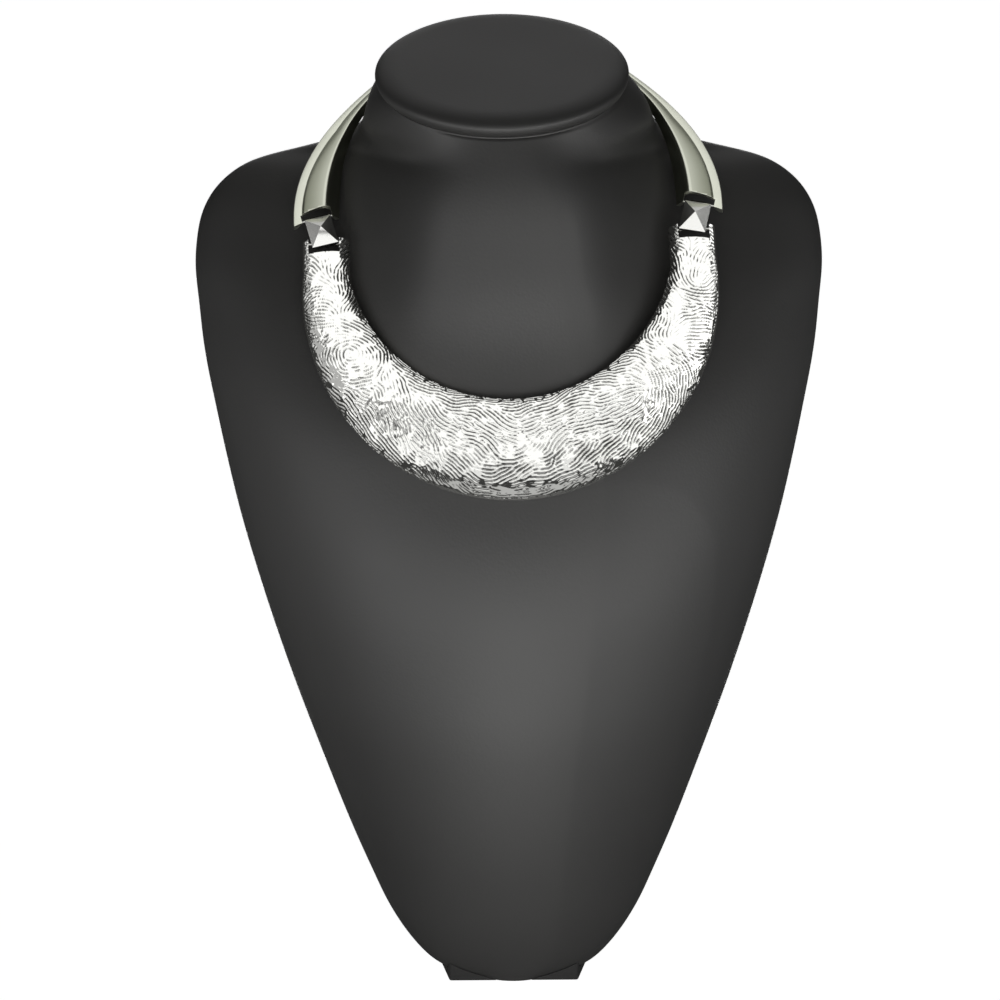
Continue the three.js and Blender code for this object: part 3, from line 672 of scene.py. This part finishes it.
def grown_ridges(direction, seed):
    """Ridges grown out of noise, the way a print forms: each round keeps what runs along the
    given direction at the ridges' pitch, so lines join, fork and end by themselves."""
    field = np.random.default_rng(seed).standard_normal(direction.shape)
    fy, fx = waves(direction.shape)
    bands = []
    for k in range(RIDGE_WAYS):
        angle = math.pi * k / RIDGE_WAYS
        with_it = fx * math.cos(angle) + fy * math.sin(angle)
        over_it = fy * math.cos(angle) - fx * math.sin(angle)
        band = bell(np.abs(over_it), 1 / RIDGE_PITCH, PITCH_SPREAD / RIDGE_PITCH, 2)
        bands.append(band * bell(with_it, 0, WAY_SPREAD / RIDGE_PITCH, 2))
    nearest = (direction / math.pi * RIDGE_WAYS) % RIDGE_WAYS
    for _ in range(RIDGE_ROUNDS):
        spectrum = np.fft.rfft2(field)
        grown = np.zeros_like(field)
        for k, band in enumerate(bands):
            off = np.abs((nearest - k + RIDGE_WAYS / 2) % RIDGE_WAYS - RIDGE_WAYS / 2)
            share = np.clip(1 - off, 0, 1)
            if share.any():
                grown += share * np.fft.irfft2(spectrum * band, s=field.shape)
        grown /= grown.std()
        field = np.tanh(RIDGE_GAIN * grown)
    return grown


def soft_noise(shape, size, seed):
    """Smooth noise with lumps of the given size, evened to a spread of one."""
    field = np.random.default_rng(seed).standard_normal(shape)
    fy, fx = waves(shape)
    kept = np.exp(-((fx ** 2 + fy ** 2) * (size * 1.5) ** 2))
    field = np.fft.irfft2(np.fft.rfft2(field) * kept, s=shape)
    return field / field.std()


# Places on the slope that the ridges turn round. bends: 1 for a loop, 2 for a full eye;
# turn: how far the loop or eye is itself turned, in half turns.
RIDGE_EYES = [
    {"x": -54, "y": -47, "size": 8, "bends": 2, "turn": 0.5},
    {"x": 43, "y": -66, "size": 13, "bends": 1, "turn": 0.55},
    {"x": 62, "y": -24, "size": 6, "bends": 1, "turn": 0.2},
]


def flow_direction(x, y):
    """Which way the ridges run at each place of the collar's slope: along the inner rim low
    down, feathered on the arms, and round a few eyes."""
    turn = np.arctan2(x, -y / SLOPE_STRETCH)
    from_rim = np.hypot(x, y / SLOPE_STRETCH) - INNER_RIM
    base = np.arctan2(SLOPE_STRETCH * np.sin(turn), np.cos(turn))
    arms = ramp(np.abs(turn), *ARMS_RAMP)
    feather = np.tanh((from_rim - FEATHER_MIDDLE) / FEATHER_REACH) * FEATHER_ANGLE
    feather = feather * arms * np.sign(turn)
    slant = SLANT_ANGLE * np.sin(SLANT_WAVES * turn) * ramp(from_rim, *SLANT_RAMP)
    two = np.exp(2j * (base - feather + slant))  # twice the angle, as a ridge has no head
    for eye in RIDGE_EYES:
        dx, dy = x - eye["x"], y - eye["y"]
        pull = EYE_PULL * np.exp(-(dx ** 2 + dy ** 2) / (2 * eye["size"] ** 2))
        round_it = eye["bends"] * np.arctan2(dy, dx) + 2 * math.pi * eye["turn"]
        two = two + pull * np.exp(1j * round_it)
    return np.angle(two) / 2


def relief_patterns(plan):
    """The cast relief at each place of the plan: its ridges and grooves, how bold they are, and
    how the skin rolls."""
    low = plan.min((0, 1)) - RELIEF_MARGIN
    high = plan.max((0, 1)) + RELIEF_MARGIN
    columns, rows = ((high - low) / RELIEF_STEP).astype(int) + 1
    x, y = np.meshgrid(low[0] + RELIEF_STEP * np.arange(columns),
                       low[1] + RELIEF_STEP * np.arange(rows))
    waver = sum(angle * soft_noise(x.shape, size, seed) for angle, size, seed in WAVERS)
    field = grown_ridges(flow_direction(x, y) + waver, RIDGE_SEED)
    patchy = soft_noise(x.shape, PATCH_SIZE, PATCH_SEED)
    skin = SKIN_RIDGE * field + soft_noise(x.shape, SKIN_SIZE, SKIN_SEED)
    last = np.array([columns, rows]) - 1.001  # keeps the next cell inside the grid
    cell = np.clip((plan - low) / RELIEF_STEP, 0, last)
    i, j = np.moveaxis(cell.astype(int), -1, 0)
    u, v = np.moveaxis(cell, -1, 0) - (i, j)

    def read(values):
        return (values[j, i] * (1 - u) * (1 - v) + values[j, i + 1] * u * (1 - v)
                + values[j + 1, i] * (1 - u) * v + values[j + 1, i + 1] * u * v)

    return read(field), read(patchy), read(skin)


def cast_relief(turn, share, run, slope_y, plan):
    """What casting did to the plate's face: how deep in a groove each place is, from 0 to 1, which
    also sets the painted shade in the grooves, and how far the face stands out of its plain dome
    there."""
    field, patchy, skin = relief_patterns(plan)
    # it fades out beside the notches and along both rims
    ends = ramp(-slope_y, *END_FADE)
    margin = OUTER_MARGIN + ARMS_MARGIN * ramp(np.abs(turn), *ARMS_MARGIN_RAMP)[:, None]
    rims = ramp(run - run[:, [0]], *INNER_FADE) * ramp(run[:, [-1]] - run, margin, OUTER_FADE)
    low_middle = bell(turn, *LOW_MIDDLE_TURN)[:, None] * ramp(share, *LOW_SHARE_RAMP)
    strokes = bell(turn, *STROKE_TURN)[:, None] * bell(share, *STROKE_SHARE)
    near_rim = ramp(np.abs(share - 0.5), *NEAR_RIM_RAMP)
    bold = (BOLD_PATCH * patchy + BOLD_RIM * near_rim * (1 - low_middle)
            + strokes * (BOLD_STROKE + STROKE_PATCH * patchy))
    strength = ends * rims * (1 - LOW_MIDDLE_LOSS * low_middle * (1 - strokes))
    groove = smooth_step(ramp(bold - field, *GROOVE_RAMP)) * strength
    depth = groove * RIDGE_DEPTH * (1 + RIM_GAIN * near_rim)
    return groove, skin * SKIN_ROLL * ends * rims - depth


def bib_plate(material):
    """The crescent plate: a domed face with its relief, a plain back one wall behind it, and a
    notch at each end for a pyramid link."""
    end = math.radians(BIB_HALF_TURN)
    turn = np.linspace(-end, end, BIB_COLUMNS)
    inner, across, up, width = bib_frame(turn)
    rise = BIB_RISE_END + (BIB_RISE_MIDDLE - BIB_RISE_END) * np.cos(turn) ** 2

    def surface(share, wall):
        """The dome, a wall's thickness in from the plate's face and rims."""
        out = wall + (width - 2 * wall)[:, None] * share
        height = (rise - wall)[:, None] * dome(share)
        return inner[:, None] + across[:, None] * out[..., None] + up[:, None] * height[..., None]

    share = even_shares(BIB_ROWS)
    face = surface(share, 0)
    normal = unit(np.cross(np.gradient(face, axis=0), np.gradient(face, axis=1)))
    normal[(normal * up[:, None]).sum(-1) < 0] *= -1

    # the plan is laid out flat, so that ridges keep their pitch over the domed edges
    section = np.linalg.norm(np.diff(face, axis=1), axis=-1)
    run = np.concatenate([np.zeros((BIB_COLUMNS, 1)), np.cumsum(section, 1)], 1)
    run -= run[:, [BIB_ROWS // 2]]
    outwards = unit(across * [1, 1, 0])[:, None, :2]
    plan = face[:, [BIB_ROWS // 2], :2] + run[..., None] * outwards
    groove, lift = cast_relief(turn, share, run, face[..., 1], plan)
    face = face + normal * lift[..., None]

    back = surface(even_shares(BIB_BACK_ROWS)[::-1], PLATE_WALL)
    rings = on_collar(np.concatenate([face, back], 1).reshape(-1, 3))
    faces = tube_faces(BIB_COLUMNS, BIB_ROWS + BIB_BACK_ROWS)
    plate = piece("relief_bib", rings, faces, material)
    plain = np.zeros((BIB_COLUMNS, BIB_BACK_ROWS))
    # the groove share, which the material also paints dark as painted shade
    mark(plate.data, "groove", np.concatenate([groove, plain], 1))
    outward(plate)
    cut(plate, [block("notch", (x - NOTCH_HALF, BIB_NOTCH_FLOOR, BIB_NOTCH_LOW),
                      (x + NOTCH_HALF, BIB_NOTCH_TOP, BIB_NOTCH_TOP))
                for x in (-BIB_NOTCH_X, BIB_NOTCH_X)])
    smooth(plate, 40)
    place(plate, "polished_silver", "bib_plate")


# --------------------------------------------------------------------------------- collar

def to_link(side):
    """Turns and moves points built round a pyramid link's middle to their side."""
    turn = -side * math.radians(LINK_TURN)
    c, s = math.cos(turn), math.sin(turn)

    def placed(points):
        x, y, z = np.asarray(points, float).T
        return np.stack([side * LINK_X + c * x - s * y, LINK_SLOPE_Y + s * x + c * y, z], 1)
    return placed


def from_link(side, x, y):
    """How far across and along a pyramid link places of the collar's frame lie."""
    turn = -side * math.radians(LINK_TURN)
    c, s = math.cos(turn), math.sin(turn)
    x, y = x - side * LINK_X, y - LINK_SLOPE_Y
    return c * x + s * y, c * y - s * x


def bar_width(degrees):
    """A side bar's width this far round it, from the wide front to the narrow tail."""
    taper = smooth_step(ramp(degrees, 0, BAR_TAPER_END))
    return BAR_WIDTH_FRONT + (BAR_WIDTH_BACK - BAR_WIDTH_FRONT) * taper


def bar_section(width):
    """A side bar's section from its outer edge inwards: a flat lip, a groove and a crown, then
    the hollow back."""
    rise = BAR_RISE + BAR_RISE_SHARE * width
    lip = min(BAR_LIP, width * BAR_LIP_SHARE)
    wall = min(PLATE_WALL, width * BAR_WALL_SHARE)
    edge = [(0, 0), (0, 0.25), (0.015, 0.31), (0.06, 0.35), (0.13, 0.37), (0.5, 0.45),
            (0.8, 0.5), (0.93, 0.505), (0.98, 0.495), (1, 0.46)]
    crown_x = [0, 0.025, 0.06, 0.25, 0.46, 0.6, 0.645, 0.69, 0.85, 1]
    crown_y = [0.46, 0.63, 0.7, 0.86, 0.965, 1, 0.995, 0.93, 0.48, 0]
    at = np.sort(np.concatenate([np.linspace(0, 1, 26)[1:], crown_x[1:3], crown_x[5:8]]))
    crown = lip + (width - lip) * at, rise * even_curve(crown_x, crown_y, at)
    face = np.concatenate([np.array(edge) * (lip, rise), np.stack(crown, 1)])
    x = np.linspace(width, 0, 9)
    back = np.stack([wall + x * (width - 2 * wall) / width,
                     np.interp(x, *face.T) * (rise - wall) / rise], 1)
    back[0] = (width - wall, 0)
    back[-1] = (wall, 0)
    return np.concatenate([face, back])


def bar_middle(turn):
    return np.array([BAR_X * math.cos(turn), BAR_CENTRE + BAR_SLOPE * math.sin(turn), 0])


def bar_along(turn):
    return unit(np.array([-BAR_X * math.sin(turn), BAR_SLOPE * math.cos(turn), 0]))


def side_bar(name, side, node, material):
    """A curved side bar: its section swept from front to tail, cut at the front for the pyramid
    link, with an eye for the chain behind."""
    rings = []
    for degrees in np.linspace(BAR_START, BAR_END, BAR_STEPS):
        turn = math.radians(degrees)
        width = bar_width(degrees)
        section = bar_section(width)
        along = bar_along(turn)
        out = np.array([along[1], -along[0], 0])
        ring = bar_middle(turn) + out * width / 2 - out * section[:, :1]
        ring[:, 0] *= side
        ring[:, 2] = section[:, 1]
        rings.append(ring)
    faces = tube_faces(BAR_STEPS, len(rings[0]))
    bar = piece(name, on_collar(np.concatenate(rings)), faces, material)
    outward(bar)
    placed = to_link(side)
    shift = side * BAR_NOTCH_SHIFT
    turn = math.radians(BAR_END)
    tail = bar_middle(turn) + bar_along(turn) * (TAB_RADIUS - TAB_OVERLAP)
    tail[0] *= side
    eye = disc("eye", tail, TAB_RADIUS, 0, TAB_THICKNESS)
    cutters = [block("end", (-CUT_REACH, -CUT_REACH, CUT_BELOW), (CUT_REACH, BAR_CUT, CUT_ABOVE),
                     placed),
               block("notch", (shift - NOTCH_HALF, -CUT_REACH, CUT_BELOW),
                     (shift + NOTCH_HALF, BAR_NOTCH_FLOOR, CUT_ABOVE), placed),
               disc("eye_hole", tail, TAB_HOLE, *TAB_CUT)]
    cut(bar, cutters, [eye])
    # paints highlights and shade into the bar's colour
    paint_bar_light(bar, side)
    smooth(bar, 40)
    place(bar, "satin_silver", node)


def paint_bar_light(bar, side):
    """Marks how bright each point of a bar's colour is painted: painted highlights on the lip, the
    crest and the cut ends, and painted shade that darkens the crown towards the groove and on the
    inner wall."""
    local = from_collar(vectors(bar.data.vertices, "co"))
    across, along = from_link(side, local[:, 0], local[:, 1])
    across -= side * BAR_NOTCH_SHIFT
    at_end = (np.abs(along - BAR_CUT) < TOUCH) | (np.abs(along - BAR_NOTCH_FLOOR) < TOUCH)
    at_end |= (np.abs(np.abs(across) - NOTCH_HALF) < TOUCH) & (along < BAR_NOTCH_FLOOR + TOUCH)

    x, y = side * local[:, 0], local[:, 1] - BAR_CENTRE
    way = np.arctan2(y / BAR_SLOPE, x / BAR_X)
    width = bar_width(np.degrees(way))
    lip = np.minimum(BAR_LIP, width * BAR_LIP_SHARE)
    out = unit(np.stack([BAR_SLOPE * np.cos(way), BAR_X * np.sin(way)], 1))
    offset = np.stack([x - BAR_X * np.cos(way), y - BAR_SLOPE * np.sin(way)], 1)
    from_edge = width / 2 - (offset * out).sum(1)
    crown = ramp(from_edge, lip, width - lip)
    climb = ramp(crown, 0, CREST_START) ** CROWN_POWER
    painted_shine = GROOVE_SHINE + (CROWN_SHINE - GROOVE_SHINE) * climb
    painted_shine[from_edge < lip - LIP_GIVE] = LIP_SHINE
    painted_shine[crown > CREST_START] = CREST_SHINE
    painted_shine[crown > CREST_END] = WALL_SHINE
    painted_shine[at_end] = 1
    mark(bar.data, "polish", painted_shine)


def finished_copy(name, node, material, slot, edge):
    """A CAD node's shape with its corners broken, as the real piece is tumbled; its faces stay
    flat."""
    made = new_object(name, frame["nodes"][node].data.copy())
    made.data.materials.clear()
    made.data.materials.append(material)
    shape = bmesh.new()
    shape.from_mesh(made.data)
    bmesh.ops.remove_doubles(shape, verts=shape.verts, dist=1e-6)
    bmesh.ops.dissolve_limit(shape, angle_limit=math.radians(FLAT_WITHIN), verts=shape.verts,
                             edges=shape.edges)
    shape.to_mesh(made.data)
    shape.free()
    broken = made.modifiers.new("edge", "BEVEL")
    broken.width = edge * MM
    broken.segments = 2
    broken.limit_method = "ANGLE"
    broken.angle_limit = math.radians(CORNER_FROM)
    settle(made)
    place(made, slot, node)
    return made


def pyramid_link(name, side, node, material, recess):
    """A pyramid-topped link; its hinge barrels, down in the slots, get the dark recess material as
    painted shade.
    """
    made = finished_copy(name, node, material, "polished_silver", LINK_EDGE)
    made.data.materials.append(recess)
    for face in made.data.polygons:
        x, y, _ = from_collar(face.center)
        along = from_link(side, x, y)[1]
        if abs(along) > LINK_HALF_LENGTH + TOUCH:
            # painted shade: the hinge barrels take the dark recess material
            face.material_index = 1


def link_tree():
    """Wire links set on points: each point's turn attribute says how its link lies."""
    tree = bpy.data.node_groups.new("wire_links", "GeometryNodeTree")
    for name, kind in [("Points", "NodeSocketGeometry"), ("Length", "NodeSocketFloat"),
                       ("Width", "NodeSocketFloat"), ("Wire", "NodeSocketFloat"),
                       ("Finish", "NodeSocketMaterial")]:
        tree.interface.new_socket(name, in_out="INPUT", socket_type=kind)
    tree.interface.new_socket("Links", in_out="OUTPUT", socket_type="NodeSocketGeometry")
    given = add(tree, "NodeGroupInput").outputs

    def worked_out(first, operation, second):
        inputs = {0: first, 1: second}
        return add(tree, "ShaderNodeMath", inputs, operation=operation).outputs[0]

    length = worked_out(given["Length"], "SUBTRACT", given["Wire"])
    width = worked_out(given["Width"], "SUBTRACT", given["Wire"])
    # just short of half, so that no two corners of the outline meet
    bend = worked_out(width, "MULTIPLY", 0.499)
    half_wire = worked_out(given["Wire"], "MULTIPLY", 0.5)
    outline = add(tree, "GeometryNodeCurvePrimitiveQuadrilateral",
                  {"Width": length, "Height": width})
    rounded = add(tree, "GeometryNodeFilletCurve",
                  {"Curve": outline.outputs[0], "Count": 9, "Radius": bend}, mode="POLY")
    wire = add(tree, "GeometryNodeCurvePrimitiveCircle", {"Resolution": 14, "Radius": half_wire})
    link = add(tree, "GeometryNodeCurveToMesh",
               {"Curve": rounded.outputs[0], "Profile Curve": wire.outputs[0]})
    turn = add(tree, "GeometryNodeInputNamedAttribute", {"Name": "turn"},
               data_type="FLOAT_VECTOR")
    placed = add(tree, "GeometryNodeInstanceOnPoints",
                 {"Points": given["Points"], "Instance": link.outputs[0],
                  "Rotation": turn.outputs[0]})
    real = add(tree, "GeometryNodeRealizeInstances", {"Geometry": placed.outputs[0]})
    done = add(tree, "GeometryNodeSetMaterial",
               {"Geometry": real.outputs[0], "Material": given["Finish"]})
    add(tree, "NodeGroupOutput", {0: done.outputs[0]})
    return tree


def chain_links(material):
    """The short chain: wire links along the CAD links' middles, every other one on edge, with
    the two halves alike on either side of the clasp."""
    nodes = [f"chain_link_{k:02d}" for k in range(1, CHAIN_LINKS + 1)]
    middles = [(low + high) / 2 for low, high in map(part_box, nodes)]
    out = Vector(collar_matrix()[0][:, 2])
    turns = []
    for k in range(CHAIN_LINKS):
        before, after = middles[max(k - 1, 0)], middles[min(k + 1, CHAIN_LINKS - 1)]
        along = (after - before).normalized()
        side = out.cross(along).normalized()
        up = along.cross(side)
        on_edge = k % 2 == (0 if k < CHAIN_LINKS / 2 else 1)
        across, normal = (up, -side) if on_edge else (side, up)
        turns.extend(Matrix((along, across, normal)).transposed().to_euler())
    points = bpy.data.meshes.new("chain_points")
    points.from_pydata([tuple(m) for m in middles], [], [])
    points.attributes.new("turn", "FLOAT_VECTOR", "POINT").data.foreach_set("vector", turns)
    made = new_object("back_chain", points)
    change = made.modifiers.new("links", "NODES")
    change.node_group = link_tree()
    sizes = {"Length": LINK_LENGTH * MM, "Width": LINK_WIDTH * MM, "Wire": LINK_WIRE * MM,
             "Finish": material}
    for item in change.node_group.interface.items_tree:
        if item.name in sizes:
            change[item.identifier] = sizes[item.name]
    settle(made)
    smooth(made, 50)
    place(made, "chain_steel", *nodes)


# ------------------------------------------------------------------------- scene and lights

# Soft panels: name, where it stands, where it aims, its size in metres, its power in watts,
# the pieces it is flagged to reach, and how it lights them: "gloss" only shines in them, and
# "matt" also lights them as a matt surface is lit.
PANELS = [
    ("front", (0.1, -1.9, 0.35), (0, 0, 0.2), (2.0, 1.2), 4, "leather", "matt"),
    ("low_front", (0, -1.7, -0.3), (0, 0, 0.14), (1.4, 0.7), 25, "leather", "gloss"),
    ("table_front", (0, -1.5, -1.1), (0, 0, 0.1), (1.2, 0.8), 5.8, "leather", "gloss"),
    ("left_sheen", (-1.5, -1.2, 0.1), (0, 0, 0.15), (1.0, 1.0), 20.4, "leather", "gloss"),
    ("right_sheen", (1.5, -1.2, 0.1), (0, 0, 0.15), (1.0, 1.0), 20.5, "leather", "gloss"),
    ("left_edge", (-1.6, 0.35, -0.35), (-0.08, 0, 0.15), (1.2, 0.8), 2.1, "leather", "gloss"),
    ("right_edge", (1.6, 0.35, -0.35), (0.08, 0, 0.15), (1.2, 0.8), 2.0, "leather", "gloss"),
    ("lid_sheen", (0, 1.0, 1.6), (0, 0, 0.3), (1.4, 1.0), 5.8, "leather", "gloss"),
    ("back", (0, 2.2, 0.6), (0, 0, 0.2), (1.1, 1.1), 10, "leather", "matt"),
    ("low_back", (0, 2.0, -0.4), (0, 0, 0.15), (1.1, 0.7), 26, "leather", "gloss"),
    ("back_wall", (0, 2.2, 0.5), (0, 0, 0.3), (1.4, 1.1), 9, "silver", "matt"),
    ("overhead", (0, -0.35, 1.6), (0, 0, 0.25), (3.6, 2.0), 25, "silver", "matt"),
    ("rear_overhead", (0, 1.25, 1.5), (0, 0, 0.25), (3.6, 1.1), 6, "silver", "matt"),
    ("left_wall", (-1.9, -0.6, 0.9), (0, 0, 0.25), (2.0, 1.2), 3.2, "silver", "matt"),
    ("right_wall", (1.9, -0.6, 0.9), (0, 0, 0.25), (2.0, 1.2), 11, "silver", "matt"),
    ("left_low_wall", (-1.6, -1.2, 0.15), (0, 0, 0.22), (1.2, 1.0), 4, "silver", "matt"),
    ("right_low_wall", (1.6, -1.2, 0.15), (0, 0, 0.22), (1.2, 1.0), 4, "silver", "matt"),
    ("high_front", (0, -1.75, 0.95), (0, 0, 0.22), (2.6, 0.9), 8, "silver", "matt"),
    ("level_front", (0, -1.9, 0.2), (0, 0, 0.22), (2.6, 0.6), 4, "silver", "matt"),
    ("table", (0, -1.3, -1.2), (0, 0, 0.2), (3.0, 1.2), 5, "silver", "matt"),
]


def softbox(panel, pieces):
    name, stand, aim, size, power, lit, way = panel
    light = bpy.data.lights.new(name, "AREA")
    light.shape = "RECTANGLE"
    light.size, light.size_y = size
    light.energy = power
    made = new_object(name, light)
    made.location = stand
    towards = Vector(aim) - made.location
    made.rotation_euler = towards.to_track_quat("-Z", "Y").to_euler()
    made.visible_diffuse = way == "matt"
    made.light_linking.receiver_collection = pieces[lit]


def paper_floor():
    """The white paper under the bust: it is seen, but sends no light on to the pieces."""
    reach = FLOOR_HALF
    corners = [(-reach, -reach, 0), (reach, -reach, 0), (reach, reach, 0), (-reach, reach, 0)]
    floor = piece("floor", corners, [(0, 1, 2, 3)], floor_material())
    floor.visible_diffuse = False
    floor.visible_glossy = False
    floor.visible_shadow = False
    return floor


def light_room():
    """The air of the room: white to the camera, and nearly dark to the pieces."""
    world = bpy.data.worlds.new("studio")
    bpy.context.scene.world = world
    world.use_nodes = True
    tree = world.node_tree
    tree.nodes.clear()
    ray = add(tree, "ShaderNodeLightPath").outputs
    grey, white = linear("#d8d8d6"), (1, 1, 1, 1)
    glow, shade, sweep = [
        add(tree, "ShaderNodeBackground", {"Color": colour, "Strength": strength}).outputs[0]
        for colour, strength in ((grey, ROOM_GLOW), (grey, ROOM_SHADE), (white, 1))]
    unseen = add(tree, "ShaderNodeMixShader", {0: ray["Is Diffuse Ray"], 1: glow, 2: shade})
    mixed = add(tree, "ShaderNodeMixShader",
                {0: ray["Is Camera Ray"], 1: unseen.outputs[0], 2: sweep})
    add(tree, "ShaderNodeOutputWorld", {"Surface": mixed.outputs[0]})


def studio():
    """The paper, the room and the panels, with each piece flagged as black or as metal."""
    floor = paper_floor()
    pieces = {name: bpy.data.collections.new(name) for name in ("leather", "silver")}
    for made in bpy.data.objects:
        if made.type == "MESH" and made != floor:
            black = any("black" in material.name for material in made.data.materials if material)
            pieces["leather" if black else "silver"].objects.link(made)
    for panel in PANELS:
        softbox(panel, pieces)
    light_room()


def camera():
    """A long lens a metre off, looking a little down on the bust."""
    data = bpy.data.cameras.new("camera")
    data.sensor_width = 36
    data.lens = CAMERA_LENS
    data.shift_x, data.shift_y = CAMERA_SHIFT
    made = new_object("camera", data)
    rise, roll = math.radians(CAMERA_RISE), math.radians(CAMERA_ROLL)
    back = Vector((0, -math.cos(rise), math.sin(rise)))
    right, up = Vector((1, 0, 0)), Vector((0, math.sin(rise), math.cos(rise)))
    rolled_right = right * math.cos(roll) + up * math.sin(roll)
    rolled_up = up * math.cos(roll) - right * math.sin(roll)
    made.rotation_euler = Matrix((rolled_right, rolled_up, back)).transposed().to_euler()
    made.location = Vector(CAMERA_AIM) + back
    bpy.context.scene.camera = made


camera()
leatherette = leatherette_material()
relief_silver = relief_silver_material()
bright_silver = bright_silver_material()
satin_silver = satin_silver_material()
steel = steel_material()
recess = recess_material()

foot_board(bust_body(leatherette), board_material())
neck_cap(leatherette)
bib_plate(relief_silver)
side_bar("left_bar", -1, "left_side_bar", satin_silver)
side_bar("right_bar", 1, "right_side_bar", satin_silver)
pyramid_link("left_pyramid", -1, "left_link", bright_silver, recess)
pyramid_link("right_pyramid", 1, "right_link", bright_silver, recess)
chain_links(steel)
finished_copy("oval_clasp", "clasp", steel, "chain_steel", CLASP_EDGE)

for made in frame["nodes"].values():
    if made.hide_render:
        continue
    made.data.materials.clear()
    made.data.materials.append(steel)

studio()
bpy.context.scene.view_settings.view_transform = "Standard"
